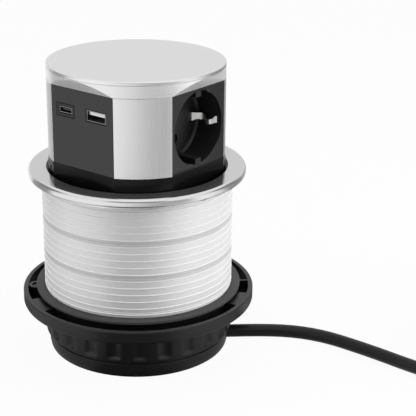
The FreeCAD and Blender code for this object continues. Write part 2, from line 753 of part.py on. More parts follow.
def make_cap():
    ring_bore = head_r - size("cap_ring_wall", 6.9, "wall of the cap ring")
    facet_rise = size("facet_rise", 6.4, "height where the bevel runs out of the round skirt")
    edge = size("lid_edge", 0.7, "rounding of the lid's edge")
    spigot_in = size("lid_groove_depth", 0.5, "depth of the shadow groove")
    stub_r = size("lid_stub_radius", 4.2, "radius of the lid's screw stubs")
    body = new_body("cap_ring")
    revolve(body, "cap_ring_turning", rectangle(ring_bore, skirt_low, head_r, groove_low))
    side = sketch_on(body, "XZ_Plane", "facet_sketch", 0.0, quarter / 2)
    run = head_r - flat_out
    reach = 3.0
    below = skirt_low - size("facet_lead", 0.01, "the bevel cut starts this far under the skirt")
    outline(side, [
        (flat_out, below),
        (flat_out + reach * run, below),
        (flat_out + reach * run, skirt_low + reach * facet_rise),
        (flat_out, skirt_low),
    ])
    facet = pocket(body, "facet", side, head_r * 2, both_sides=True)
    around(body, "facets", [facet], 4)
    turned(body, turn)
    node(body, "cap_ring")

    body = new_body("lid")
    profile = [
        (0.0, groove_low),
        (head_r - spigot_in, groove_low),
        (head_r - spigot_in, lid_low),
        (head_r, lid_low),
        (head_r, head_top),
        (0.0, head_top),
    ]
    disc = revolve(body, "lid_turning", profile)
    soften(body, "lid_rounding", disc, [(head_r, head_top)], edge)
    stubs = sketch_on(body, "XY_Plane", "lid_stub_sketch", groove_low)
    drills = sketch_on(body, "XY_Plane", "lid_drill_sketch", skirt_low)
    for x, y in tie_screw_places():
        circle(stubs, x, y, stub_r)
        circle(drills, x, y, tie_r)
    pad(body, "lid_stubs", stubs, groove_low - skirt_low, down=True)
    pocket(body, "lid_drills", drills, groove_low - tie_end_gap - skirt_low, up=True)
    node(body, "lid")


# Corner panels of brushed aluminium

def make_panels():
    for k, side in enumerate(("front", "right", "rear", "left")):
        label = "corner_panel_" + side
        body = new_body(label)
        profile = rectangle(head_r - panel_t, face_low, head_r, skirt_low)
        revolve(body, label + "_sheet", profile, panel_angle)
        turned(body, turn + quarter * k)
        node(body, label)


# Sockets: a face plate with a round well, earth clips and two pin contacts each

socket_z = face_low + face_height / 2
mouth_bevel = size("mouth_bevel", 0.5, "depth of the mouth's bevel")
well_wall = size("well_wall", 1.7, "wall of the well")
well_corner = size("well_corner", 1.2, "bevel at the foot of the well's wall")
pin_spacing = size("pin_spacing", 19.0, "distance between the pin holes")
pin_hole_r = size("pin_hole_radius", 2.9, "pin hole radius")
clip_out = well_r - size("earth_clip_inset", 2.1, "earth clips inside the well's wall")
clip_width = size("earth_clip_width", 5.6, "earth clip width")
clip_sheet = size("earth_clip_sheet", 0.8, "earth clip sheet thickness")
clip_slot_gap = size("clip_slot_gap", 0.2, "room round the clips in their slots")
cup_lap = size("cup_lap", 0.5, "how far the well's cup reaches into its face plate")
plate_back = flat_out - plate_t


def make_face_plate(body, label):
    """A plate between two corner panels, its sides parallel to the panels' ends."""
    back_half = chord * plate_back / flat_out - plate_gap
    section = sketch_on(body, "XY_Plane", label + "_plate_sketch", face_low)
    outline(section, [
        (plate_back, -back_half),
        (flat_out, -plate_half),
        (flat_out, plate_half),
        (plate_back, back_half),
    ])
    pad(body, label + "_plate", section, face_height)


def make_socket_insert(label, azimuth):
    rib_half = size_of_guide
    rib_in = size_of_guide_height
    body = new_body(label)
    make_face_plate(body, label)
    cup = sketch_on(body, "YZ_Plane", label + "_cup_sketch", well_low - well_floor)
    circle(cup, 0.0, socket_z, well_r + well_wall)
    pad(body, label + "_cup", cup, well_depth + well_floor - plate_t + cup_lap)
    well = sketch_on(body, "XZ_Plane", label + "_well_sketch")
    outline(well, [
        (well_low, socket_z),
        (well_low, socket_z + well_r - well_corner),
        (well_low + well_corner, socket_z + well_r),
        (flat_out - mouth_bevel, socket_z + well_r),
        (flat_out, socket_z + mouth_r),
        (flat_out + 1, socket_z + mouth_r),
        (flat_out + 1, socket_z),
    ])
    groove = body.newObject("PartDesign::Groove", label + "_well")
    groove.Profile = well
    groove.ReferenceAxis = (well, ["Edge7"])
    groove.Angle = 360
    guides = sketch_on(body, "YZ_Plane", label + "_guide_sketch", well_low - well_floor / 2)
    for side in (-1, 1):
        near = socket_z + side * (well_r - rib_in)
        far = socket_z + side * (well_r + well_wall / 2)
        low, high = (near, far) if side > 0 else (far, near)
        outline(guides, rectangle(-rib_half, low, rib_half, high))
    pad(body, label + "_guides", guides, well_depth + well_floor / 2 - mouth_bevel)
    holes = sketch_on(body, "YZ_Plane", label + "_hole_sketch", well_low)
    for side in (-1, 1):
        circle(holes, 0.0, socket_z + side * pin_spacing / 2, pin_hole_r)
        slot_in = side * (clip_root - clip_slot_gap)
        slot_out = side * (clip_root + clip_sheet + clip_slot_gap)
        half = clip_width / 2 + clip_slot_gap
        low, high = (slot_in, slot_out) if side > 0 else (slot_out, slot_in)
        outline(holes, rectangle(low, socket_z - half, high, socket_z + half))
    pocket(body, label + "_holes", holes, well_floor)
    turned(body, azimuth)
    node(body, label)


size_of_guide = size("guide_rib_half_width", 2.2, "half width of the plug guide ribs")
size_of_guide_height = size("guide_rib_height", 3.0, "height of the plug guide ribs")


def make_earth_clips(label, azimuth):
    """Two bowed strips, joined by a cross strip that lies behind the well floor."""
    back = well_low - well_floor
    tip = flat_out - size_clip_tip
    rise = tip - well_low
    bow_start = 0.35
    bow_top = 0.68
    line = [
        (back - clip_sheet, clip_root),
        (well_low + size_of_foot, clip_root),
        (well_low + rise * bow_start, clip_out),
        (well_low + rise * bow_top, clip_out - size_of_bow),
        (tip, clip_out),
    ]
    outer = [(d, across + clip_sheet) for d, across in line[1:]]
    right = [(back - clip_sheet, clip_root + clip_sheet)] + outer
    left_inner = [(d, -across) for d, across in line[1:]]
    left_outer = [(d, -across) for d, across in right]
    body = new_body(label)
    sk = sketch_on(body, "XY_Plane", label + "_sketch", socket_z)
    cross = [(back, clip_root), (back, -clip_root)]
    outline(sk, right + line[:0:-1] + cross + left_inner + left_outer[::-1])
    pad(body, label + "_strip", sk, clip_width, both_sides=True)
    turned(body, azimuth)
    node(body, label)


clip_root = well_r - size("earth_clip_root_inset", 6.4, "foot of the earth clips inside the well's wall")
size_of_bow = size("earth_clip_bow", 2.4, "how far the earth clips bow inwards")
size_of_foot = size("earth_clip_foot", 1.0, "straight foot of the earth clips over the well's floor")
size_clip_tip = size("earth_clip_tip_depth", 1.6, "earth clips end this far inside the mouth")


def make_pin_contacts(label, azimuth):
    sleeve_r = size_sleeve
    bore_r = size_sleeve_bore
    back = well_low - well_floor
    body = new_body(label)
    sk = sketch_on(body, "YZ_Plane", label + "_sketch", bus_half)
    for side in (-1, 1):
        circle(sk, 0.0, socket_z + side * pin_spacing / 2, sleeve_r)
    pad(body, label + "_sleeves", sk, back - bus_half)
    bores = sketch_on(body, "YZ_Plane", label + "_bore_sketch", back)
    for side in (-1, 1):
        circle(bores, 0.0, socket_z + side * pin_spacing / 2, bore_r)
    pocket(body, label + "_bores", bores, back - bus_half - size_sleeve_end)
    turned(body, azimuth)
    node(body, label)


size_sleeve = size("sleeve_radius", 3.5, "pin contact sleeve radius")
size_sleeve_bore = size("sleeve_bore_radius", 2.45, "pin contact bore radius")
size_sleeve_end = size("sleeve_end_wall", 1.5, "closed end of the sleeves")
bus_half = size("bus_half_width", 10.5, "half width of the square bus plates")


def make_bus_plates():
    plate = size("bus_thickness", 1.2, "bus plate thickness")
    hole = size("bus_hole_radius", 5.0, "hole in the bus plates")
    for label, side in (("bus_plate_live", 1), ("bus_plate_neutral", -1)):
        body = new_body(label)
        sk = sketch_on(body, "XY_Plane", label + "_sketch", socket_z + side * pin_spacing / 2)
        outline(sk, rectangle(-bus_half, -bus_half, bus_half, bus_half))
        circle(sk, 0.0, 0.0, hole)
        pad(body, label + "_plate", sk, plate, both_sides=True)
        turned(body, turn + quarter / 2)
        node(body, label)


# USB face: plate, circuit board, the two connectors and the power supply parts

usb_a_t = size("usb_a_across", 10.0, "USB-A centre from the middle of its face")
usb_c_t = size("usb_c_across", -11.5, "USB-C centre from the middle of its face")
usb_z = socket_z + size("usb_rise", 9.2, "USB centres over the middle of the face")
usb_a_w = size("usb_a_width", 13.1, "USB-A shell width")
usb_a_h = size("usb_a_height", 5.7, "USB-A shell height")
usb_c_w = size("usb_c_width", 8.94, "USB-C shell width")
usb_c_h = size("usb_c_height", 3.26, "USB-C shell height")
usb_sheet = size("usb_sheet", 0.35, "USB shell sheet thickness")
usb_gap = size("usb_gap", 0.45, "room round the USB shells in the plate")
usb_depth = size("usb_depth", 14.0, "USB shell length")
board_t = size("board_thickness", 1.6, "circuit board thickness")
usb_sunk = size("usb_sunk", 0.3, "shells sit behind the plate's face")
usb_tongue_sunk = size("usb_tongue_sunk", 1.2, "tongues end inside the mouths of their shells")


def make_usb_plate(azimuth):
    frame_gap = size("usb_frame_gap", 1.5, "groove round the USB-C mouth, distance")
    frame_w = size("usb_frame_width", 0.5, "width of that groove")
    frame_d = size("usb_frame_depth", 0.4, "depth of that groove")
    body = new_body("usb_plate")
    make_face_plate(body, "usb")
    holes = sketch_on(body, "YZ_Plane", "usb_hole_sketch", flat_out)
    for across, wide, high in ((usb_a_t, usb_a_w, usb_a_h), (usb_c_t, usb_c_w, usb_c_h)):
        half_w = wide / 2 + usb_gap
        half_h = high / 2 + usb_gap
        outline(holes, rectangle(across - half_w, usb_z - half_h, across + half_w, usb_z + half_h))
    pocket(body, "usb_holes", holes, plate_t)
    frame = sketch_on(body, "YZ_Plane", "usb_frame_sketch", flat_out)
    for extra in (frame_gap, frame_gap + frame_w):
        half_w = usb_c_w / 2 + extra
        half_h = usb_c_h / 2 + extra
        outline(frame, rectangle(usb_c_t - half_w, usb_z - half_h, usb_c_t + half_w, usb_z + half_h))
    pocket(body, "usb_frame", frame, frame_d)
    turned(body, azimuth)
    node(body, "usb_plate")


def make_usb_shell(label, across, wide, high, tongue_w, tongue_h, tongue_lift, azimuth):
    body = new_body(label + "_shell")
    front = flat_out - usb_sunk
    sk = sketch_on(body, "YZ_Plane", label + "_shell_sketch", front)
    outline(sk, rectangle(across - wide / 2, usb_z - high / 2, across + wide / 2, usb_z + high / 2))
    pad(body, label + "_block", sk, usb_depth, down=True)
    mouth = sketch_on(body, "YZ_Plane", label + "_mouth_sketch", front)
    in_w = wide / 2 - usb_sheet
    in_h = high / 2 - usb_sheet
    outline(mouth, rectangle(across - in_w, usb_z - in_h, across + in_w, usb_z + in_h))
    pocket(body, label + "_mouth", mouth, usb_depth - usb_sheet)
    turned(body, azimuth)
    node(body, label + "_shell")
    body = new_body(label + "_tongue")
    sk = sketch_on(body, "YZ_Plane", label + "_tongue_sketch", front - usb_depth + usb_sheet)
    middle = usb_z + tongue_lift
    low, high = middle - tongue_h / 2, middle + tongue_h / 2
    outline(sk, rectangle(across - tongue_w / 2, low, across + tongue_w / 2, high))
    pad(body, label + "_tongue_bar", sk, usb_depth - usb_sheet - usb_tongue_sunk)
    turned(body, azimuth)
    node(body, label + "_tongue")


def make_usb_inside(azimuth):
    board_top = usb_z - usb_a_h / 2
    board_half = size("board_half_width", 18.5, "half width of the circuit board")
    body = new_body("usb_board")
    sk = sketch_on(body, "XY_Plane", "usb_board_sketch", board_top)
    outline(sk, rectangle(core_half, -board_half, flat_out - plate_t, board_half))
    pad(body, "usb_board_sheet", sk, board_t, down=True)
    turned(body, azimuth)
    node(body, "usb_board")
    under = board_top - board_t
    block_in = core_half + size("transformer_gap", 1.5, "transformer's distance from the core")
    block_t = size("transformer_height", 12.0, "transformer's height, and its thickness")
    block_w = size("transformer_width", 14.0, "transformer's width")
    block_across = size("transformer_across", 1.0, "transformer's near side from the middle of its face")
    body = new_body("usb_transformer")
    sk = sketch_on(body, "XY_Plane", "transformer_sketch", under)
    outline(sk, rectangle(block_in, -(block_across + block_w), block_in + block_t, -block_across))
    pad(body, "transformer_block", sk, block_t, down=True)
    turned(body, azimuth)
    node(body, "usb_transformer")
    body = new_body("usb_capacitors")
    sk = sketch_on(body, "XY_Plane", "capacitor_sketch", under)
    can_gap = size("capacitor_gap", 3.0, "capacitors' distance from the core")
    large_r = size("large_capacitor_radius", 4.0, "radius of the large capacitor")
    large_across = size("large_capacitor_across", 5.5, "its place from the middle of its face")
    small_r = size("small_capacitor_radius", 3.0, "radius of the small capacitor")
    small_across = size("small_capacitor_across", 13.6, "its place from the middle of its face")
    circle(sk, core_half + can_gap + large_r, large_across, large_r)
    circle(sk, core_half + can_gap + small_r, small_across, small_r)
    pad(body, "capacitor_cans", sk, size("capacitor_height", 11.0, "height of the capacitors"), down=True)
    turned(body, azimuth)
    node(body, "usb_capacitors")


# Latch: a sprung hook on the base floor that catches the lowered head

latch_x = 17.0
latch_y = 19.7
hook_half = size("hook_half_width", 2.7, "half width of the latch hook")
hook_gap = size("hook_gap", 0.3, "room beside the latch hook")
ear_t = size("ear_thickness", 2.0, "latch bracket ear thickness")
pivot_z = size("pivot_height", 12.5, "height of the latch pivot")
pivot_r = size("pivot_radius", 1.25, "latch pivot radius")
pivot_fit = size("pivot_fit", 0.05, "running room on the pivot")
hook_top = size("hook_top", 29.0, "top of the latch hook")


def make_latch():
    foot_t = size("latch_foot", 2.0, "latch bracket foot thickness")
    ear_in = hook_half + hook_gap
    ear_half = size("latch_ear_half", 3.2, "half width of the bracket's ears at the top")
    foot_half = size("latch_foot_half", 5.0, "half width of the bracket's foot")
    ear_top = pivot_z + ear_half
    body = new_body("latch_bracket")
    sk = sketch_on(body, "YZ_Plane", "latch_ear_sketch", latch_x - ear_in - ear_t)
    outline(sk, [
        (latch_y - foot_half, base_floor),
        (latch_y + foot_half, base_floor),
        (latch_y + foot_half, base_floor + foot_t),
        (latch_y + ear_half, ear_top),
        (latch_y - ear_half, ear_top),
        (latch_y - foot_half, base_floor + foot_t),
    ])
    circle(sk, latch_y, pivot_z, pivot_r)
    pad(body, "latch_block", sk, 2 * (ear_in + ear_t))
    gap = sketch_on(body, "YZ_Plane", "latch_gap_sketch", latch_x - ear_in)
    outline(gap, rectangle(latch_y - foot_half - 1, base_floor + foot_t, latch_y + foot_half + 1, ear_top + 1))
    pocket(body, "latch_gap", gap, 2 * ear_in, up=True)
    node(body, "latch_bracket")
    ear_out = ear_in + ear_t
    pin = cylinder("latch_pivot", pivot_r, 2 * ear_out, latch_x - ear_out, latch_y, pivot_z, V(1, 0, 0))
    node(pin, "latch_pivot")
    body = new_body("latch_hook")
    hub_half = size("hook_hub_half", 2.6, "half width of the hook round its pivot")
    hub_height = size("hook_hub_height", 3.0, "height of that part over and under the pivot")
    shank_half = size("hook_shank_half", 1.2, "half width of the hook's shank")
    shank_low = pivot_z + size("hook_shank_start", 5.0, "start of the shank over the pivot")
    nose_out = size("hook_nose", 3.0, "reach of the hook's nose")
    nose_drop = size("hook_nose_drop", 3.2, "nose below the top of the hook")
    catch_drop = size("hook_catch_drop", 4.0, "catch below the top of the hook")
    tip_drop = size("hook_tip_drop", 1.5, "height of the slope on the hook's back")
    tip_in = size("hook_tip_in", 0.3, "top of the hook before its pivot")
    sk = sketch_on(body, "YZ_Plane", "hook_sketch", latch_x)
    outline(sk, [
        (latch_y - hub_half, pivot_z - hub_height),
        (latch_y + hub_half, pivot_z - hub_height),
        (latch_y + hub_half, pivot_z + hub_height),
        (latch_y + shank_half, shank_low),
        (latch_y + shank_half, hook_top - tip_drop),
        (latch_y - tip_in, hook_top),
        (latch_y - nose_out, hook_top - nose_drop),
        (latch_y - shank_half, hook_top - catch_drop),
        (latch_y - shank_half, shank_low),
        (latch_y - hub_half, pivot_z + hub_height),
    ])
    circle(sk, latch_y, pivot_z, pivot_r + pivot_fit)
    pad(body, "hook_bar", sk, 2 * hook_half, both_sides=True)
    node(body, "latch_hook")
    body = new_body("latch_striker")
    depth = size("striker_depth", 12.0, "latch striker depth under the head floor")
    room = size("striker_room", 5.2, "half width of the striker's pocket")
    wall = size("striker_wall", 2.0, "striker wall")
    sk = sketch_on(body, "XY_Plane", "striker_sketch", floor_low)
    reach = room + wall
    outline(sk, rectangle(latch_x - reach, latch_y - reach, latch_x + reach, latch_y + reach))
    pad(body, "striker_block", sk, depth, down=True)
    hollow = sketch_on(body, "XY_Plane", "striker_hollow_sketch", floor_low - depth)
    outline(hollow, rectangle(latch_x - room, latch_y - room, latch_x + room, latch_y + room))
    pocket(body, "striker_hollow", hollow, depth - wall, up=True)
    node(body, "latch_striker")


# Wiring in the base

def make_base_wiring():
    block_in = size("terminal_inner_side", 18.0, "terminal block's near side from the axis")
    block_w = size("terminal_width", 14.0, "width of the terminal block")
    block_half = size("terminal_half_length", 10.0, "half length of the terminal block")
    block_h = size("terminal_height", 10.0, "height of the terminal block")
    well_pitch = size("terminal_pitch", 6.5, "distance between its screw wells")
    terminal_r = size("terminal_well_radius", 2.0, "radius of its screw wells")
    terminal_depth = size("terminal_well_depth", 4.0, "depth of its screw wells")
    body = new_body("terminal_block")
    sk = sketch_on(body, "XY_Plane", "terminal_sketch", base_floor)
    outline(sk, rectangle(-(block_in + block_w), -block_half, -block_in, block_half))
    pad(body, "terminal_body", sk, block_h)
    screws = sketch_on(body, "XY_Plane", "terminal_well_sketch", base_floor + block_h)
    for k in (-1, 0, 1):
        circle(screws, -(block_in + block_w / 2), well_pitch * k, terminal_r)
    pocket(body, "terminal_wells", screws, terminal_depth)
    node(body, "terminal_block")

    clamp_low = 2 * cord_r + size("clamp_gap", 0.1, "room between cord and clamp")
    clamp_in = stack_r - size("clamp_inset", 23.1, "inner end of the cord clamp inside the rings")
    clamp_out = clamp_in + size("clamp_length", 8.0, "length of the cord clamp")
    clamp_half = size("clamp_half_width", 9.0, "half width of the cord clamp")
    leg_gap = size("clamp_leg_gap", 0.6, "room between the cord and the clamp's legs")
    body = new_body("cord_clamp")
    sk = sketch_on(body, "XY_Plane", "clamp_sketch", clamp_low)
    outline(sk, rectangle(clamp_in, cord_y - clamp_half, clamp_out, cord_y + clamp_half))
    pad(body, "clamp_bridge", sk, size("clamp_thickness", 3.0, "thickness of the clamp's bridge"))
    legs = sketch_on(body, "XY_Plane", "clamp_leg_sketch", clamp_low)
    for side in (-1, 1):
        near = cord_y + side * (cord_r + leg_gap)
        far = cord_y + side * clamp_half
        low, high = min(near, far, key=num), max(near, far, key=num)
        outline(legs, rectangle(clamp_in, low, clamp_out, high))
    pad(body, "clamp_legs", legs, clamp_low - base_floor, down=True)
    node(body, "cord_clamp")

    anchor = cylinder("lead_anchor_outside", lead_r, lead_low - base_floor, 0.0, 0.0, base_floor)
    hole = cylinder("lead_anchor_bore", lead_bore, lead_low - base_floor, 0.0, 0.0, base_floor)
    node(cut("lead_anchor", anchor, hole), "lead_anchor")
    outside = cylinder("coiled_lead_outside", lead_r, floor_low - lead_low, 0.0, 0.0, lead_low)
    bore = cylinder("coiled_lead_bore", lead_bore, floor_low - lead_low, 0.0, 0.0, lead_low)
    node(cut("coiled_lead", outside, bore), "coiled_lead")


lead_low = size("lead_low", 8.0, "bottom of the coiled lead")


# Supply cord: a free run on the floor, a put-away coil, a tail and an earthed angled plug

def unit(a):
    return a / a.Length


def rounded_route(points, name):
    """Straight runs joined by tangent arcs, as large as the runs allow."""
    edges = []
    radii = []
    start = points[0]
    for before_point, corner, after_point in zip(points, points[1:], points[2:]):
        before = corner - before_point
        after = after_point - corner
        half = before.getAngle(after) / 2
        reach = 0.45 * min(before.Length, after.Length)
        radius = reach / math.tan(half)
        radii.append(radius)
        arc_start = corner - unit(before) * reach
        arc_end = corner + unit(after) * reach
        inward = unit(unit(after) - unit(before))
        middle = corner + inward * (radius / math.cos(half) - radius)
        edges.append(Part.LineSegment(start, arc_start).toShape())
        edges.append(Part.Arc(arc_start, middle, arc_end).toShape())
        start = arc_end
    edges.append(Part.LineSegment(start, points[-1]).toShape())
    print("%s: radii %s mm" % (name, " ".join("%.0f" % radius for radius in radii)))
    return Part.Wire(edges)


def make_tube(label, wire, start, heading):
    """A round cord along a wire that leaves its start along a heading."""
    ring = Part.Wire([Part.Circle(start, heading, num(cord_r)).toShape()])
    solid = wire.makePipeShell([ring], True, False)
    expected = math.pi * num(cord_r) ** 2 * wire.Length
    share = solid.Volume / expected
    print("%s: length %.1f mm, volume %.4f of section by length" % (label, wire.Length, share))
    thing = doc.addObject("Part::Feature", label)
    thing.Shape = solid
    node(thing, label)
    return wire.Length


def arc_from(start, along, end):
    """Start, middle and end of the arc that leaves start along a direction."""
    line = end - start
    aside = along - line * (along.dot(line) / line.dot(line))
    if aside.Length < 1e-9:
        return [start, (start + end) * 0.5, end]
    rise = line.Length / 2 * math.tan(along.getAngle(line) / 2)
    return [start, (start + end) * 0.5 + unit(aside) * rise, end]


def biarc(p0, t0, p1, t1):
    """Two arcs that leave p0 along t0, meet smoothly and reach p1 along t1."""
    gap = p1 - p0
    a = 2 * (1 - t0.dot(t1))
    b = 2 * gap.dot(t0 + t1)
    reach = (math.sqrt(b * b + 4 * a * gap.dot(gap)) - b) / (2 * a)
    joint = (p0 + t0 * reach + p1 - t1 * reach) * 0.5
    return [arc_from(p0, t0, joint), arc_from(p1, -t1, joint)[::-1]]


def coil_stations(centre, first_angle, low):
    """Points and headings every quarter turn: inwards on the floor, outwards on top."""
    shrink = coil_step / 4
    stations = []
    for k in range(coil_low_quarters + coil_top_quarters + 1):
        angle = first_angle + k * math.pi / 2
        radius = coil_outer - shrink * (coil_low_quarters - abs(k - coil_low_quarters))
        climb = min(max(k - coil_low_quarters + 1, 0), 2) / 2
        point = centre + V(radius * math.cos(angle), radius * math.sin(angle), climb * coil_step)
        sideways = (k > coil_low_quarters) - (k < coil_low_quarters)
        upwards = 0.75 * coil_step if k == coil_low_quarters else 0.0
        ahead = V(-math.sin(angle), math.cos(angle), 0) * (radius * math.pi / 2)
        outwards = V(math.cos(angle), math.sin(angle), 0) * shrink * sideways
        stations.append((point + V(0, 0, low), unit(ahead + outwards + V(0, 0, upwards))))
    return stations


def least_gap(wire, diameter):
    """Least room between the turns of a wound tube, measured on points of its centre line."""
    spacing = diameter / 4
    points = [(p.x, p.y, p.z) for p in wire.discretize(Distance=spacing)]
    skip = int(math.pi * diameter / spacing)
    count = len(points)
    least = min(math.dist(points[i], points[j]) for i in range(count) for j in range(i + skip, count))
    return least - diameter


# Quarter turns on the floor and on top, and the distance between neighbouring turns
coil_outer = 51.0
coil_low_quarters = 10
coil_top_quarters = 11
coil_step = 8.0


def make_cord():
    diameter = 2 * num(cord_r)
    lie = num(cord_r)
    route = [
        V(28.0, -4.2, lie),
        V(63.0, -4.0, lie),
        V(99.0, -8.6, lie),
        V(130.0, -32.0, lie),
        V(152.0, -53.0, lie),
        V(173.0, -68.0, lie),
        V(193.0, -75.0, lie),
    ]
    total = make_tube("power_cord", rounded_route(route, "power_cord"), route[0], route[1] - route[0])

    # The coil goes on from the free run and turns left, with its own slight pull inwards
    heading = unit(route[-1] - route[-2])
    entry = route[-1] + heading * diameter
    pull = math.atan(coil_step / 4 / (coil_outer * math.pi / 2))
    towards = math.atan2(heading.y, heading.x) - pull
    centre = entry + V(-math.sin(towards), math.cos(towards), 0) * coil_outer
    centre.z = 0
    stations = coil_stations(centre, towards - math.pi / 2, lie)
    edges = [Part.LineSegment(route[-1], stations[0][0]).toShape()]
    for (p0, t0), (p1, t1) in zip(stations, stations[1:]):
        for arc in biarc(p0, t0, p1, t1):
            edges.append(Part.Arc(*arc).toShape())
    last, way = stations[-1]
    tail_start = last + way * diameter
    edges.append(Part.LineSegment(last, tail_start).toShape())
    coil = Part.Wire(edges)
    print("cord_coil: least gap between turns %.2f mm" % least_gap(coil, diameter))
    total += make_tube("cord_coil", coil, route[-1], heading)

    # The tail comes down beside the coil and turns to the plug behind it
    point = tail_start
    tail = [point]
    bearing = math.atan2(way.y, way.x)
    mouth_z = num(plug_cord_z)
    runs = ((18.0, 0.0, point.z), (20.0, 16.0, 7.4), (20.0, 22.0, mouth_z), (18.0, 22.0, mouth_z))
    for run, swing, height in runs:
        bearing += math.radians(swing)
        point = V(point.x + run * math.cos(bearing), point.y + run * math.sin(bearing), height)
        tail.append(point)
    total += make_tube("cord_tail", rounded_route(tail, "cord_tail"), tail_start, tail[1] - tail[0])
    print("cord: %.0f mm long in all" % total)
    return tail[-1], unit(tail[-1] - tail[-2])


# Earthed plug, lying on its back beside the coil, its cord leaving sideways

plug_back_r = size("plug_back_radius", 19.5, "radius of the plug's back")
plug_front_r = size("plug_front_radius", 18.4, "radius of the plug's front")
plug_split = size("plug_back_height", 11.5, "height of the plug's back")
plug_top = size("plug_height", 24.0, "height of the plug without its pins")
plug_neck = size("plug_neck", 21.0, "cord side of the plug's neck from its axis")
plug_cord_z = size("plug_cord_height", 5.2, "height of the cord in the plug")
relief_length = size("relief_length", 20.0, "length of the plug's strain relief")
relief_r = size("relief_radius", 5.1, "root radius of the strain relief")
relief_end_r = size("relief_end_radius", 4.4, "end radius of the strain relief")


def make_plug(mouth, heading):
    bearing = math.degrees(math.atan2(heading.y, heading.x))
    centre = mouth + heading * (num(plug_neck) + num(relief_length))
    centre.z = 0
    frame = FreeCAD.Placement(centre, FreeCAD.Rotation(V(0, 0, 1), bearing))
    edge = size("plug_edge", 1.2, "bevel on the plug's back edge")
    shoulder = size("plug_shoulder", 1.0, "step between the plug's back and front")
    front_low = plug_split + shoulder

    body = new_body("plug_body")
    profile = [
        (0.0, 0.0),
        (plug_back_r - edge, 0.0),
        (plug_back_r, edge),
        (plug_back_r, plug_split),
        (plug_front_r, front_low),
        (plug_front_r, plug_top - edge / 2),
        (plug_front_r - edge / 2, plug_top),
        (0.0, plug_top),
    ]
    revolve(body, "plug_turning", profile)
    neck_half = relief_r + size("plug_neck_wall", 1.4, "wall of the plug's neck round its strain relief")
    neck = sketch_on(body, "YZ_Plane", "plug_neck_sketch", -plug_neck)
    outline(neck, rectangle(-neck_half, 0.0, neck_half, plug_cord_z + neck_half))
    pad(body, "plug_neck_block", neck, plug_neck - plug_back_r / 2)
    guide_gap = size("guide_gap", 0.4, "room round the guide ribs in the plug's grooves")
    groove_half = size_of_guide + guide_gap
    grooves = sketch_on(body, "XY_Plane", "plug_groove_sketch", front_low)
    groove_in = plug_front_r - size_of_guide_height - guide_gap
    outline(grooves, rectangle(-groove_half, groove_in, groove_half, plug_front_r + 1))
    outline(grooves, rectangle(-groove_half, -(plug_front_r + 1), groove_half, -groove_in))
    pocket(body, "plug_grooves", grooves, plug_top - front_low, up=True)
    seats = sketch_on(body, "XY_Plane", "plug_seat_sketch", front_low)
    contact_in = plug_front_r - plug_contact_t
    outline(seats, rectangle(contact_in, -plug_contact_half, plug_front_r + 1, plug_contact_half))
    outline(seats, rectangle(-(plug_front_r + 1), -plug_contact_half, -contact_in, plug_contact_half))
    pocket(body, "plug_seats", seats, plug_top - front_low, up=True)
    earth = sketch_on(body, "XY_Plane", "plug_earth_hole_sketch", plug_top)
    circle(earth, plug_earth_x, 0.0, plug_earth_r)
    pocket(body, "plug_earth_hole", earth, plug_top - front_low)
    body.Placement = frame
    node(body, "plug_body")

    body = new_body("plug_earth_contacts")
    strips = sketch_on(body, "XY_Plane", "plug_contact_sketch", front_low)
    outline(strips, rectangle(contact_in, -plug_contact_half, plug_front_r, plug_contact_half))
    outline(strips, rectangle(-plug_front_r, -plug_contact_half, -contact_in, plug_contact_half))
    pad(body, "plug_contact_strips", strips, plug_top - front_low - edge / 2)
    body.Placement = frame
    node(body, "plug_earth_contacts")

    body = new_body("plug_pins")
    pins = sketch_on(body, "XY_Plane", "plug_pin_sketch", plug_top)
    for side in (-1, 1):
        circle(pins, 0.0, side * pin_spacing / 2, plug_pin_r)
    bars = pad(body, "plug_pin_bars", pins, plug_pin_length)
    doc.recompute()
    tips = []
    for i, ring in enumerate(bars.Shape.Edges):
        if isinstance(ring.Curve, Part.Circle) and ring.Curve.Center.z > num(plug_top) + 1:
            tips.append("Edge%d" % (i + 1))
    rounding = body.newObject("PartDesign::Fillet", "plug_pin_tips")
    rounding.Base = (bars, tips)
    set_size(rounding, "Radius", plug_pin_r / 2)
    body.Placement = frame
    node(body, "plug_pins")

    relief = doc.addObject("Part::Cone", "plug_strain_relief")
    set_size(relief, "Radius1", relief_end_r)
    set_size(relief, "Radius2", relief_r)
    set_size(relief, "Height", relief_length)
    relief.Placement = FreeCAD.Placement(mouth, FreeCAD.Rotation(V(0, 0, 1), heading))
    node(relief, "plug_strain_relief")


plug_pin_r = size("plug_pin_radius", 2.4, "plug pin radius")
plug_pin_length = size("plug_pin_length", 19.0, "plug pin length")
plug_contact_half = size("plug_contact_half_width", 3.0, "half width of the plug's earth contacts")
plug_contact_t = size("plug_contact_thickness", 1.0, "thickness of the plug's earth contacts")
plug_earth_x = size("plug_earth_distance", 10.0, "earth hole from the plug's axis")
plug_earth_r = size("plug_earth_radius", 2.6, "radius of the plug's earth hole")


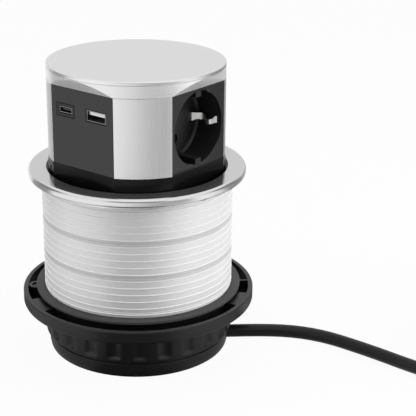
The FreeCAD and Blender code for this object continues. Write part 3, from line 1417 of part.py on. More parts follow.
def main():
    make_collar()
    make_barrel()
    make_base_cap()
    make_base_screws()
    make_rods()
    make_springs()
    make_stack()
    make_nut()
    make_head_floor()
    make_lower_ring()
    make_core()
    make_tie_screws()
    make_cap()
    make_panels()
    for k, side in enumerate(("right", "rear", "left")):
        azimuth = turn + quarter * (k + 0.5)
        make_socket_insert("socket_" + side, azimuth)
        make_earth_clips("earth_clips_" + side, azimuth)
        make_pin_contacts("pin_contacts_" + side, azimuth)
    make_bus_plates()
    usb_azimuth = turn - quarter / 2
    make_usb_plate(usb_azimuth)
    tongue_w = size("usb_a_tongue_width", 11.1, "USB-A tongue width")
    tongue_h = size("usb_a_tongue", 1.85, "USB-A tongue thickness")
    tongue_lift = size("usb_a_tongue_lift", 1.2, "USB-A tongue lift")
    make_usb_shell("usb_a", usb_a_t, usb_a_w, usb_a_h, tongue_w, tongue_h, tongue_lift, usb_azimuth)
    tongue_w = size("usb_c_tongue_width", 6.7, "USB-C tongue width")
    tongue_h = size("usb_c_tongue", 0.7, "USB-C tongue thickness")
    make_usb_shell("usb_c", usb_c_t, usb_c_w, usb_c_h, tongue_w, tongue_h, 0.0, usb_azimuth)
    make_usb_inside(usb_azimuth)
    make_latch()
    make_base_wiring()
    mouth, heading = make_cord()
    make_plug(mouth, heading)
    doc.recompute()
    check_and_write()


def check_and_write():
    faults = []
    for thing in doc.Objects:
        if "Invalid" in thing.State or "Error" in thing.State:
            faults.append("%s: %s" % (thing.Name, thing.State))
    for thing in nodes:
        shape = thing.Shape
        if shape.isNull() or not shape.isValid() or shape.Volume <= 0:
            faults.append("%s: bad shape" % thing.Label)
    if faults:
        raise RuntimeError("; ".join(faults))
    for thing in nodes:
        thing.Shape.exportStep("parts/%s.step" % thing.Label)
        low = thing.Shape.BoundBox
        print("%-22s solids %d volume %10.1f z %.2f to %.2f" % (
            thing.Label, len(thing.Shape.Solids), thing.Shape.Volume, low.ZMin, low.ZMax))
    print("%d nodes" % len(nodes))


main()
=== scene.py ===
import json
import math

import bmesh
import bpy
from mathutils import Matrix, Vector


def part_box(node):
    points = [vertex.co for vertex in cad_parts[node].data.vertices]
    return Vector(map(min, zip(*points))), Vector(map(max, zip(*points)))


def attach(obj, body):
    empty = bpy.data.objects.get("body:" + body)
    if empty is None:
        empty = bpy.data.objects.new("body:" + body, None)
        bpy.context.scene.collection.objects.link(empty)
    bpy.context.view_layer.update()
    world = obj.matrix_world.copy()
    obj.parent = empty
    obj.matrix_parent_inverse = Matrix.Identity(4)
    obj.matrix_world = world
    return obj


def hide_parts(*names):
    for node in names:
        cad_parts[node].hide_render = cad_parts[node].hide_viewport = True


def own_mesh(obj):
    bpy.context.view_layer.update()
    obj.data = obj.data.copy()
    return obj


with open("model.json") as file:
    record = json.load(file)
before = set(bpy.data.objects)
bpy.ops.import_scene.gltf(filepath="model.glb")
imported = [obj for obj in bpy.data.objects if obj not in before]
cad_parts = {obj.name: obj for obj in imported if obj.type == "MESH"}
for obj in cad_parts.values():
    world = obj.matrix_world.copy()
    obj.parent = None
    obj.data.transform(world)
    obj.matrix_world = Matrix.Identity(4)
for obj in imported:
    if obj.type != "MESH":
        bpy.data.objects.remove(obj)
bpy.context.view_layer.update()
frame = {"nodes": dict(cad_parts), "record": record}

# Recessed pop-up socket. Metres in the row frame; sizes below are written in millimetres
# and turned into metres by MM. Azimuths are in degrees from the front (-Y) towards +X.

MM = 0.001
# The head's turn, how far its flat faces stand from the axis, and the azimuths of the three sockets
HEAD_TURN = 3.7
FLAT_OUT = 43.30
SOCKETS = {"right": HEAD_TURN + 45, "rear": HEAD_TURN + 135, "left": HEAD_TURN + 225}

nodes = frame["nodes"]
scene = bpy.context.scene
scene.view_settings.view_transform = "Standard"


# Camera at the photograph's place, found from the outlines of the lid, the collar and the nut

IMAGE_SIDE = 416
SENSOR = 36.0
FOCAL_PIXELS = 1242.07
CAMERA_PLACE = Vector((0.0, -653.208, 326.539)) * MM
CAMERA_PITCH = 0.3614
CAMERA_YAW = 0.0603
CAMERA_ROLL = 0.0104
CAMERA_REACH = 20.0


def make_camera():
    data = bpy.data.cameras.new("camera")
    data.sensor_width = SENSOR
    data.lens = FOCAL_PIXELS * SENSOR / IMAGE_SIDE
    data.clip_end = CAMERA_REACH
    forward = Vector((
        math.sin(CAMERA_YAW) * math.cos(CAMERA_PITCH),
        math.cos(CAMERA_YAW) * math.cos(CAMERA_PITCH),
        -math.sin(CAMERA_PITCH),
    ))
    level = Vector((math.cos(CAMERA_YAW), -math.sin(CAMERA_YAW), 0.0))
    above = level.cross(forward)
    right = math.cos(CAMERA_ROLL) * level + math.sin(CAMERA_ROLL) * above
    upwards = right.cross(forward)
    turn = Matrix((right, upwards, -forward)).transposed().to_4x4()
    camera = bpy.data.objects.new("camera", data)
    camera.matrix_world = Matrix.Translation(CAMERA_PLACE) @ turn
    scene.collection.objects.link(camera)
    scene.camera = camera


make_camera()


# Materials

class Graph:
    """A material whose nodes are added one by one."""

    def __init__(self, name, color, roughness, metallic=0.0):
        self.material = bpy.data.materials.new(name)
        self.material.use_nodes = True
        self.tree = self.material.node_tree
        self.shader = self.tree.nodes["Principled BSDF"]
        self.set("Base Color", (*color, 1.0))
        self.set("Roughness", roughness)
        self.set("Metallic", metallic)

    def set(self, socket, value):
        self.shader.inputs[socket].default_value = value

    def node(self, kind, **inputs):
        made = self.tree.nodes.new("ShaderNode" + kind)
        for socket, value in inputs.items():
            self.feed(made, socket.replace("_", " "), value)
        return made

    def feed(self, made, socket, value):
        target = made.inputs[int(socket)] if socket.isdigit() else made.inputs[socket]
        if isinstance(value, bpy.types.NodeSocket):
            self.tree.links.new(value, target)
        else:
            target.default_value = value

    def math(self, operation, first, second=0.0):
        made = self.tree.nodes.new("ShaderNodeMath")
        made.operation = operation
        self.feed(made, "0", first)
        self.feed(made, "1", second)
        return made.outputs[0]

    def largest(self, first, *others):
        for other in others:
            first = self.math("MAXIMUM", first, other)
        return first

    def place(self):
        return self.node("TexCoord").outputs["Object"]

    def split(self):
        made = self.node("SeparateXYZ", Vector=self.place())
        return made.outputs[0], made.outputs[1], made.outputs[2]

    def radius(self):
        x, y, z = self.split()
        return self.math("SQRT", self.math("ADD", self.math("MULTIPLY", x, x), self.math("MULTIPLY", y, y)))

    def angle(self):
        x, y, z = self.split()
        return self.math("ARCTAN2", y, x)

    def vector(self, x, y, z):
        return self.node("CombineXYZ", X=x, Y=y, Z=z).outputs[0]

    def noise(self, vector, scale, detail=2.0, rough=0.5):
        made = self.node("TexNoise", Vector=vector, Scale=scale, Detail=detail, Roughness=rough)
        return made.outputs["Fac"]

    def ramp(self, value, low, high, start=0.0, end=1.0):
        """Maps a value from start..end to low..high."""
        made = self.node("MapRange", Value=value)
        made.inputs["From Min"].default_value = start
        made.inputs["From Max"].default_value = end
        made.inputs["To Min"].default_value = low
        made.inputs["To Max"].default_value = high
        return made.outputs[0]

    def tint(self, value, dark, light):
        """Mixes two colours by a value."""
        made = self.tree.nodes.new("ShaderNodeMix")
        made.data_type = "RGBA"
        self.tree.links.new(value, made.inputs["Factor"])
        made.inputs[6].default_value = (*dark, 1.0)
        made.inputs[7].default_value = (*light, 1.0)
        self.tree.links.new(made.outputs[2], self.shader.inputs["Base Color"])

    def gloss(self, value):
        self.tree.links.new(value, self.shader.inputs["Roughness"])

    def bump(self, height, strength, distance):
        made = self.node("Bump", Height=height, Strength=strength, Distance=distance)
        self.tree.links.new(made.outputs[0], self.shader.inputs["Normal"])


def grey(level):
    return (level, level, level)


def turned_metal(name, level, roughness, streak, grain, metallic=1.0):
    """Metal or silver paint with fine lines round the Z axis, closer where streak is larger."""
    g = Graph(name, grey(level), roughness, metallic)
    x, y, z = g.split()
    rings = g.vector(g.math("MULTIPLY", g.radius(), streak), g.math("MULTIPLY", z, streak), 0.0)
    lines = g.noise(rings, 1.0, 3.0, 0.6)
    cloud = g.noise(g.place(), 40.0, 2.0)
    g.tint(g.math("ADD", g.math("MULTIPLY", lines, 0.7), g.math("MULTIPLY", cloud, 0.3)),
           grey(level * (1 - grain)), grey(level * (1 + grain)))
    g.gloss(g.ramp(lines, roughness * 0.85, roughness * 1.15, 0.3, 0.7))
    g.bump(lines, 0.25, 0.00003)
    return g.material


def silver_rings(name, level, roughness):
    """Silver plastic of the spacers: fine level brushing, painted shade where two rings meet, and a painted
    highlight on each rib's crest.
    """
    g = Graph(name, grey(level), roughness, 0.35)
    x, y, z = g.split()
    across = g.math("MULTIPLY", g.angle(), 14.0)
    brushing = g.noise(g.vector(across, g.math("MULTIPLY", z, 2600.0), 0.0), 1.0, 4.0, 0.7)
    fine = g.ramp(brushing, 0.90, 1.06, 0.25, 0.75)
    # Painted shade: the base colour is darkened where two rings meet
    joint_shade = 1.0
    for joint in SPACER_JOINTS:
        away = g.math("ABSOLUTE", g.math("SUBTRACT", z, joint * MM))
        joint_shade = g.math("MULTIPLY", g.ramp(away, 0.80, 1.0, *JOINT_SHADE_EDGE), joint_shade)
    # Painted highlight: the base colour is lightened on each rib's crest
    crest = g.ramp(g.radius(), 1.0, 1.24, *CREST_HIGHLIGHT_EDGE)
    shade = g.math("MULTIPLY", g.math("MULTIPLY", g.math("MULTIPLY", fine, joint_shade), crest), level)
    color = g.node("CombineColor", Red=shade, Green=shade, Blue=shade)
    g.tree.links.new(color.outputs[0], g.shader.inputs["Base Color"])
    g.gloss(g.ramp(brushing, roughness * 0.85, roughness * 1.15, 0.3, 0.7))
    g.bump(brushing, 0.2, 0.00003)
    return g.material


def upright_metal(name, level, roughness, streak, grain):
    """Metal with fine upright lines on a sheet bent round the Z axis."""
    g = Graph(name, grey(level), roughness, 1.0)
    x, y, z = g.split()
    across = g.math("MULTIPLY", g.angle(), streak)
    lines = g.noise(g.vector(across, g.math("MULTIPLY", z, 30.0), 0.0), 1.0, 3.0, 0.65)
    g.tint(lines, grey(level * (1 - grain)), grey(level * (1 + grain)))
    g.gloss(g.ramp(lines, roughness * 0.85, roughness * 1.15, 0.3, 0.7))
    g.bump(lines, 0.2, 0.00003)
    tangent = g.node("Tangent")
    tangent.direction_type = "RADIAL"
    tangent.axis = "Z"
    g.tree.links.new(tangent.outputs[0], g.shader.inputs["Tangent"])
    g.set("Anisotropic", 0.9)
    return g.material


def plastic(name, level, roughness, grain_scale, grain_depth, variation=0.12, tone=(1.0, 1.0, 1.0),
            specular=0.5):
    """Moulded plastic or rubber with a fine grain and a slight cloudiness."""
    color = tuple(level * part for part in tone)
    g = Graph(name, color, roughness)
    g.set("Specular IOR Level", specular)
    grain = g.noise(g.place(), grain_scale, 3.0, 0.6)
    cloud = g.noise(g.place(), 35.0, 2.0)
    g.tint(cloud, tuple(c * (1 - variation) for c in color), tuple(c * (1 + variation) for c in color))
    g.gloss(g.ramp(cloud, roughness * 0.9, roughness * 1.12, 0.3, 0.7))
    g.bump(grain, 0.3, grain_depth)
    return g.material


def socket_shell(name):
    """Gloss on the flat faces of the head, and a finer sheen in the wells behind them, where the base
    colour is a little lighter as painted light.
    """
    g = Graph(name, grey(0.012), 0.12)
    x, y, z = g.split()
    outwards = []
    for azimuth in SOCKETS.values():
        turn = math.radians(azimuth)
        along_x = g.math("MULTIPLY", x, math.sin(turn))
        along_y = g.math("MULTIPLY", y, math.cos(turn))
        outwards.append(g.math("SUBTRACT", along_x, along_y))
    depth = g.math("SUBTRACT", FLAT_OUT * MM, g.largest(*outwards))
    inside = g.ramp(depth, 0.0, 1.0, 0.0004, 0.0010)
    cloud = g.noise(g.place(), 60.0, 2.0)
    # Painted light: the base colour is a little lighter inside the wells
    g.tint(inside, grey(0.010), grey(0.013))
    g.gloss(g.math("ADD", g.ramp(inside, 0.10, 0.45), g.ramp(cloud, -0.02, 0.02, 0.3, 0.7)))
    g.bump(g.noise(g.place(), 900.0, 3.0, 0.6), 0.25, 0.00001)
    return g.material


def plated(name, color, roughness, variation=0.08):
    """Plated or bare small metal pieces."""
    g = Graph(name, color, roughness, 1.0)
    cloud = g.noise(g.place(), 180.0, 3.0)
    g.tint(cloud, tuple(c * (1 - variation) for c in color),
           tuple(min(1.0, c * (1 + variation)) for c in color))
    g.gloss(g.ramp(cloud, roughness * 0.8, roughness * 1.3, 0.3, 0.7))
    g.bump(g.noise(g.place(), 900.0, 2.0), 0.15, 0.00002)
    return g.material


# Heights where two spacers meet, half the width of the painted shade there, and the radii where the painted
# highlight on a rib's crest begins
SPACER_JOINTS = (59.4, 79.0)
JOINT_SHADE_EDGE = (0.0014, 0.0018)
CREST_HIGHLIGHT_EDGE = (0.05292, 0.05304)
# After each name: level or colour, and roughness. Then, in metals with lines, how close the lines are
# and how much they vary the colour; in plastics, the grain's scale and its depth in metres.
materials = {
    "satin_aluminium": turned_metal("satin_aluminium", 0.92, 0.34, 2600.0, 0.04),
    "brushed_aluminium": upright_metal("brushed_aluminium", 0.84, 0.30, 160.0, 0.05),
    "stainless_steel": turned_metal("stainless_steel", 0.77, 0.13, 1800.0, 0.05, 0.95),
    "cap_silver": turned_metal("cap_silver", 0.87, 0.32, 2400.0, 0.04, 0.75),
    "silver_plastic": silver_rings("silver_plastic", 0.74, 0.42),
    "black_gloss": plastic("black_gloss", 0.010, 0.10, 300.0, 0.000004),
    "black_deep": plastic("black_deep", 0.004, 0.24, 300.0, 0.000004, specular=0.2),
    "black_satin": plastic("black_satin", 0.006, 0.33, 1600.0, 0.00003),
    "socket_shell": socket_shell("socket_shell"),
    "usb_shell": plated("usb_shell", (0.30, 0.30, 0.31), 0.34),
    "washer_rubber": plastic("washer_rubber", 0.045, 0.60, 1200.0, 0.00004),
    "cord_sheath": plastic("cord_sheath", 0.004, 0.32, 1400.0, 0.00002, specular=0.33),
    "plug_plastic": plastic("plug_plastic", 0.014, 0.35, 1600.0, 0.00003),
    "plain_steel": plated("plain_steel", (0.55, 0.55, 0.56), 0.28),
    "latch_plastic": plastic("latch_plastic", 0.75, 0.4, 1200.0, 0.00002),
    "spring_contact": plated("spring_contact", (0.88, 0.87, 0.84), 0.30),
    "brass": plated("brass", (0.75, 0.56, 0.25), 0.25),
    "pale_plastic": plastic("pale_plastic", 0.72, 0.4, 1200.0, 0.00002),
    "dark_plastic": plastic("dark_plastic", 0.04, 0.4, 1200.0, 0.00002),
    "circuit_board": plastic("circuit_board", 0.12, 0.35, 500.0, 0.00002, 0.15, (0.15, 1.0, 0.45)),
    "transformer": plastic("transformer", 0.5, 0.4, 400.0, 0.00002, 0.1, (1.0, 0.75, 0.15)),
}


def dress(thing, name):
    thing.data.materials.clear()
    thing.data.materials.append(materials[name])


for entry in frame["record"]["subparts"]:
    dress(nodes[entry["node"]], entry["material_slot"])
dress(nodes["cap_ring"], "cap_silver")
dress(nodes["lower_ring"], "black_deep")
for side in ("right", "rear", "left"):
    dress(nodes["socket_" + side], "socket_shell")
dress(nodes["usb_a_shell"], "usb_shell")
dress(nodes["usb_c_shell"], "usb_shell")


# Floor, world and lights

# Studio round the object, as metal shows it: azimuth in degrees and level. It lights from the world, and on
# the floor it is a painted reflection: bright boxes left and right, dark flags in front and beside, and the
# white backdrop filling the rear.
STUDIO = [
    (-180, 0.92), (-150, 0.95), (-135, 0.85), (-122, 0.30), (-102, 0.30), (-88, 0.95), (-60, 1.00),
    (-34, 1.00), (-22, 1.00), (-9, 0.86), (5, 0.66), (20, 0.48), (36, 0.40), (47, 0.50), (58, 0.86),
    (66, 1.00), (82, 0.95), (98, 0.40), (118, 0.22), (136, 0.32), (158, 0.48), (170, 0.75), (180, 0.92),
]
# The same on the floor close to the object
STUDIO_NEAR = [
    (-180, 1.00), (-158, 1.00), (-140, 0.70), (-120, 0.38), (-105, 0.42), (-88, 0.90), (-60, 1.00),
    (-44, 1.00), (-34, 0.82), (-24, 0.26), (-5, 0.18), (12, 0.24), (22, 0.45), (32, 0.85), (42, 1.00),
    (60, 1.00), (92, 1.00), (108, 0.50), (122, 0.36), (142, 0.75), (180, 1.00),
]
# The same over the horizon: the white rear, dark at the sides and in front
STUDIO_HIGH = [
    (-180, 0.72), (-140, 0.71), (-118, 0.22), (-98, 0.22), (-78, 0.80), (-48, 0.90), (-34, 0.75),
    (-22, 0.22), (0, 0.18), (18, 0.22), (32, 0.75), (48, 0.90), (78, 0.75), (98, 0.20), (118, 0.20),
    (140, 0.71), (180, 0.72),
]
# Distances from the axis, in metres: where the floor's near studio gives way to the other, and where the
# floor's painted reflection is darkened by painted shade from the object that stands on it, down to a share
# of its level
NEAR_TO_FAR = (0.295, 0.335)
FLOOR_SHADE = (0.07, 0.20)
FLOOR_SHADE_SHARE = 0.35
FLOOR_LEVEL = 0.58
FLOOR_CLOUD = 0.01
FLOOR_WHITE_SHARE = 0.95
FLOOR_HALF_SIDE = 6.0
# Heights of a direction: where the high studio and the ceiling begin, and where each has taken over
HORIZON_EDGE = (-0.05, 0.12)
CEILING_EDGE = (0.44, 0.70)
CEILING_LEVEL = 0.94


def studio_level(tree, place, stops):
    """A float curve of the studio's level over the azimuth of a place or direction."""
    split = tree.nodes.new("ShaderNodeSeparateXYZ")
    tree.links.new(place, split.inputs[0])
    back = tree.nodes.new("ShaderNodeMath")
    back.operation = "MULTIPLY"
    back.inputs[1].default_value = -1.0
    tree.links.new(split.outputs["Y"], back.inputs[0])
    angle = tree.nodes.new("ShaderNodeMath")
    angle.operation = "ARCTAN2"
    tree.links.new(split.outputs["X"], angle.inputs[0])
    tree.links.new(back.outputs[0], angle.inputs[1])
    share = tree.nodes.new("ShaderNodeMapRange")
    share.inputs["From Min"].default_value = -math.pi
    share.inputs["From Max"].default_value = math.pi
    tree.links.new(angle.outputs[0], share.inputs["Value"])
    curve = tree.nodes.new("ShaderNodeFloatCurve")
    tree.links.new(share.outputs[0], curve.inputs["Value"])
    points = curve.mapping.curves[0].points
    while len(points) < len(stops):
        points.new(0.5, 0.5)
    for point, (azimuth, level) in zip(points, stops):
        point.location = ((azimuth + 180) / 360, level)
    curve.mapping.update()
    return curve.outputs[0]


def make_floor():
    """A pale floor that keeps the object's shadow; the camera sees it nearly white, and metal sees the
    studio glow in it as a painted reflection.
    """
    g = Graph("floor", grey(FLOOR_LEVEL), 0.6)
    cloud = g.noise(g.place(), 3.0, 2.0)
    g.tint(cloud, grey(FLOOR_LEVEL - FLOOR_CLOUD), grey(FLOOR_LEVEL + FLOOR_CLOUD))
    path = g.node("LightPath")
    blend = g.node("Mix", Factor=g.ramp(g.radius(), 0.0, 1.0, *NEAR_TO_FAR))
    g.feed(blend, "2", studio_level(g.tree, g.place(), STUDIO_NEAR))
    g.feed(blend, "3", studio_level(g.tree, g.place(), STUDIO))
    near = g.ramp(g.radius(), FLOOR_SHADE_SHARE, 1.0, *FLOOR_SHADE)
    # Painted reflection: the floor's glow for glossy rays, with painted shade near the object
    level = g.math("MULTIPLY", blend.outputs[0], near)
    white = g.node("Emission", Color=(1.0, 1.0, 1.0, 1.0), Strength=1.0)
    shown = g.node("Emission", Color=(1.0, 1.0, 1.0, 1.0), Strength=level)
    seen = g.node("MixShader")
    g.feed(seen, "0", g.math("MULTIPLY", path.outputs["Is Camera Ray"], FLOOR_WHITE_SHARE))
    g.feed(seen, "1", g.shader.outputs[0])
    g.feed(seen, "2", white.outputs[0])
    mix = g.node("MixShader")
    g.feed(mix, "0", g.largest(path.outputs["Is Glossy Ray"], path.outputs["Is Transmission Ray"]))
    g.feed(mix, "1", seen.outputs[0])
    g.feed(mix, "2", shown.outputs[0])
    g.tree.links.new(mix.outputs[0], g.tree.nodes["Material Output"].inputs["Surface"])
    mesh = bpy.data.meshes.new("floor")
    side = FLOOR_HALF_SIDE
    corners = [(-side, -side, 0), (side, -side, 0), (side, side, 0), (-side, side, 0)]
    mesh.from_pydata(corners, [], [(0, 1, 2, 3)])
    mesh.materials.append(g.material)
    floor = bpy.data.objects.new("floor", mesh)
    scene.collection.objects.link(floor)


def make_world():
    """White to the camera; to light and reflections the studio, and over it a bright ceiling."""
    world = bpy.data.worlds.new("studio")
    world.use_nodes = True
    scene.world = world
    tree = world.node_tree
    tree.nodes.clear()

    def add(kind):
        return tree.nodes.new("ShaderNode" + kind)

    path = add("LightPath")
    place = add("TexCoord")
    split = add("SeparateXYZ")
    tree.links.new(place.outputs["Generated"], split.inputs[0])
    level = studio_level(tree, place.outputs["Generated"], STUDIO)
    studio_high = studio_level(tree, place.outputs["Generated"], STUDIO_HIGH)
    for (start, end), high in ((HORIZON_EDGE, studio_high), (CEILING_EDGE, CEILING_LEVEL)):
        rise = add("MapRange")
        rise.interpolation_type = "SMOOTHSTEP"
        rise.inputs["From Min"].default_value = start
        rise.inputs["From Max"].default_value = end
        tree.links.new(split.outputs["Z"], rise.inputs["Value"])
        blend = add("Mix")
        tree.links.new(rise.outputs[0], blend.inputs["Factor"])
        tree.links.new(level, blend.inputs[2])
        if isinstance(high, float):
            blend.inputs[3].default_value = high
        else:
            tree.links.new(high, blend.inputs[3])
        level = blend.outputs[0]
    studio = add("Background")
    tree.links.new(level, studio.inputs["Strength"])
    white = add("Background")
    white.inputs["Strength"].default_value = 1.0
    mix = add("MixShader")
    output = add("OutputWorld")
    tree.links.new(path.outputs["Is Camera Ray"], mix.inputs[0])
    tree.links.new(studio.outputs[0], mix.inputs[1])
    tree.links.new(white.outputs[0], mix.inputs[2])
    for shader in (studio, white):
        shader.inputs["Color"].default_value = (1.0, 1.0, 1.0, 1.0)
    tree.links.new(mix.outputs[0], output.inputs["Surface"])


def make_light(name, place, width, height, power):
    """A soft box, aimed at the head, that lights matt surfaces; metal shows the studio instead."""
    data = bpy.data.lights.new(name, "AREA")
    data.shape = "RECTANGLE"
    data.size = width
    data.size_y = height
    data.energy = power
    light = bpy.data.objects.new(name, data)
    place = Vector(place)
    turn = (HEAD_MIDDLE - place).to_track_quat("-Z", "Y").to_matrix().to_4x4()
    light.matrix_world = Matrix.Translation(place) @ turn
    light.visible_glossy = False
    scene.collection.objects.link(light)


HEAD_MIDDLE = Vector((0.0, 0.0, 0.10))

make_floor()
make_world()
make_light("top_box", (-0.15, -0.10, 1.10), 0.9, 0.9, 0.8)
make_light("left_box", (-0.85, -0.05, 0.30), 0.4, 0.6, 3.6)
make_light("right_box", (0.85, -0.12, 0.30), 0.4, 0.6, 8.2)


# Meshes swept round the Z axis from a profile of (radius, height, rounding) corners

ARC_STEPS = 5
# The most of an edge that one corner's arc takes
ARC_SHARE = 0.49
COLUMNS = 192
RING_COLUMNS = 224
COLLAR_COLUMNS = 256
NUT_COLUMNS = 480
TOWER_COLUMNS = 40
# Edges that turn by more degrees stay sharp
SHARP = 32.0
RING_SHARP = 24.0
SAME_PLACE = 0.000001


def rounded(corners):
    """The profile's points, with an arc at each corner that has a third number, its radius."""
    points = []
    count = len(corners)
    for i, corner in enumerate(corners):
        here = Vector(corner[:2])
        if len(corner) < 3:
            points.append(here)
            continue
        last = Vector(corners[i - 1][:2]) - here
        following = Vector(corners[(i + 1) % count][:2]) - here
        half = last.angle(following) / 2
        reach = min(corner[2] / math.tan(half), ARC_SHARE * last.length, ARC_SHARE * following.length)
        radius = reach * math.tan(half)
        inwards = (last.normalized() + following.normalized()).normalized()
        centre = here + inwards * (radius / math.sin(half))
        start = here + last.normalized() * reach - centre
        end = here + following.normalized() * reach - centre
        for k in range(ARC_STEPS + 1):
            share = k / ARC_STEPS
            points.append(centre + (start * (1 - share) + end * share).normalized() * radius)
    return points


def sweep(mesh, points, columns=COLUMNS, start=0.0, angle=360.0, shape=None, centre=(0.0, 0.0)):
    """Sweeps a closed profile round an upright axis; a part turn gets flat ends."""
    whole = angle >= 360.0
    steps = columns if whole else max(2, round(columns * angle / 360))
    rings = []
    for k in range(steps if whole else steps + 1):
        azimuth = math.radians(start + angle * k / steps)
        ring = []
        for r, z in points:
            if shape:
                r = shape(azimuth, r, z)
            x = centre[0] + r * math.sin(azimuth)
            y = centre[1] - r * math.cos(azimuth)
            ring.append(mesh.verts.new((x * MM, y * MM, z * MM)))
        rings.append(ring)
    count = len(points)
    for k in range(steps):
        here, following = rings[k], rings[(k + 1) % len(rings)]
        for i in range(count):
            j = (i + 1) % count
            mesh.faces.new((here[i], following[i], following[j], here[j]))
    if not whole:
        mesh.faces.new(rings[0])
        mesh.faces.new(rings[-1][::-1])


def weigh_normals(thing):
    """Keeps the shading of large faces flat right up to the small faces that round their edges."""
    weighted = thing.modifiers.new("normals", "WEIGHTED_NORMAL")
    weighted.keep_sharp = True


def keep(name, mesh, finish, body, replaced, sharp=SHARP):
    """Makes a piece of a bmesh that stands for a node and rides on its body, in the slot's material."""
    bmesh.ops.remove_doubles(mesh, verts=mesh.verts, dist=SAME_PLACE)
    bmesh.ops.recalc_face_normals(mesh, faces=mesh.faces)
    data = bpy.data.meshes.new(name)
    mesh.to_mesh(data)
    mesh.free()
    data.shade_smooth()
    data.set_sharp_from_angle(angle=math.radians(sharp))
    data.materials.append(materials[finish])
    piece = bpy.data.objects.new(name, data)
    scene.collection.objects.link(piece)
    weigh_normals(piece)
    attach(piece, body)
    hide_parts(replaced)
    return piece


# Collar with a rolled rim, and the clamp stack under it

COLLAR_PROFILE = [
    (53.1, 98.6), (53.1, 102.1, 0.4), (59.7, 102.1, 0.3), (60.1, 102.7, 0.4), (60.1, 106.5, 3.3),
    (49.9, 106.5, 0.5), (49.9, 103.6), (50.65, 103.6), (50.65, 98.6),
]


def make_collar():
    mesh = bmesh.new()
    sweep(mesh, rounded(COLLAR_PROFILE), COLLAR_COLUMNS)
    keep("collar_turned", mesh, "stainless_steel", "housing", "collar")


RING_BORE = 50.9
RING_WALL = 52.78
RING_EDGE = 0.3
RIB_REACH = 53.1
RIB_PITCH = 3.95
# A rib's corners: radius, height from its middle, rounding
RIB_CORNERS = [(RING_WALL, -0.36), (RIB_REACH, -0.14, 0.08), (RIB_REACH, 0.12, 0.08), (RING_WALL, 0.40)]
PRESSURE_LOW = 36.5
PRESSURE_RIB = 1.9
SPACERS_LOW = 39.8
SPACER_HEIGHT = 19.6
SPACER_RIBS = 5
SPACER_FIRST_RIB = 2.0
WASHER_PROFILE = [
    (RING_BORE, 35.0), (57.9, 35.0, 0.3), (57.9, 36.75, 0.45), (53.4, 36.75, 0.1), (53.4, 36.5),
    (RING_BORE, 36.5),
]


def ribbed_ring(name, low, high, ribs, first):
    """A silver ring with its first rib at a height over its foot."""
    corners = [(RING_BORE, low), (RING_WALL - RING_EDGE, low, 0.1), (RING_WALL, low + RING_EDGE, 0.2)]
    for k in range(ribs):
        middle = low + first + k * RIB_PITCH
        corners += [(radius, middle + height, *rounding) for radius, height, *rounding in RIB_CORNERS]
    corners += [(RING_WALL, high - RING_EDGE, 0.2), (RING_WALL - RING_EDGE, high, 0.1), (RING_BORE, high)]
    mesh = bmesh.new()
    sweep(mesh, rounded(corners), RING_COLUMNS)
    keep(name + "_turned", mesh, "silver_plastic", "clamp_stack", name, RING_SHARP)


def make_stack():
    for k, name in enumerate(("spacer_ring_lower", "spacer_ring_middle", "spacer_ring_upper")):
        low = SPACERS_LOW + SPACER_HEIGHT * k
        ribbed_ring(name, low, low + SPACER_HEIGHT, SPACER_RIBS, SPACER_FIRST_RIB)
    ribbed_ring("pressure_ring", PRESSURE_LOW, SPACERS_LOW, 1, PRESSURE_RIB)
    mesh = bmesh.new()
    sweep(mesh, rounded(WASHER_PROFILE))
    keep("rubber_washer_turned", mesh, "washer_rubber", "clamp_stack", "rubber_washer")


# Lock nut: fluted grip and a flange with an open channel, its lugs, webs and screw towers

FLUTES = 24
FLUTE_CENTRE = 58.4
FLUTE_RADIUS = 6.5
FLUTE_LOW = (10.9, 13.0)
FLUTE_HIGH = (21.2, 24.2)
# Walls nearer to the axis have no flutes, and a flute's edges are softened over a width
FLUTED_FROM = 52.0
FLUTE_SOFTNESS = 0.7
GRIP_RADIUS = 53.1
GRIP_ROWS = (10.9, 11.3, 11.7, 12.1, 12.6, 13.2, 15.0, 17.0, 19.0, 21.0, 21.7)
FLANGE_PROFILE = [
    (GRIP_RADIUS, 22.6, 1.8), (65.0, 27.3, 0.9), (65.4, 28.2, 0.8), (65.4, 34.2, 0.7), (62.7, 34.2, 0.35),
    (62.7, 28.0, 0.5), (55.6, 28.0, 0.5), (55.6, 35.0, 0.35), (RING_BORE, 35.0),
]
# Lugs and thin webs across the channel: azimuth and width in degrees
BLOCKS = ((-63.5, 16.0), (67.5, 16.0), (180.0, 16.0), (92.0, 1.3), (-150.0, 1.3))
BLOCK_PROFILE = [(55.1, 27.5), (63.2, 27.5), (63.2, 33.6, 0.2), (55.1, 33.6, 0.2)]
BLOCK_COLUMNS = 240
TOWERS = (-90.0, 150.0)
TOWER_DISTANCE = 58.1
TOWER_PROFILE = [(2.6, 33.2), (2.6, 33.9, 0.25), (4.6, 33.9, 0.35), (4.6, 27.6), (0.01, 27.6), (0.01, 33.2)]
BASE_PROFILE = [
    (0.0, 0.0), (50.7, 0.0, 0.8), (51.3, 3.2, 1.5), (51.3, 7.7, 0.35), (48.9, 7.7), (48.9, 14.0, 0.3),
    (47.0, 14.0), (47.0, 3.0), (0.0, 3.0),
]


def ease(value, start, end):
    share = min(max((value - start) / (end - start), 0.0), 1.0)
    return share * share * (3 - 2 * share)


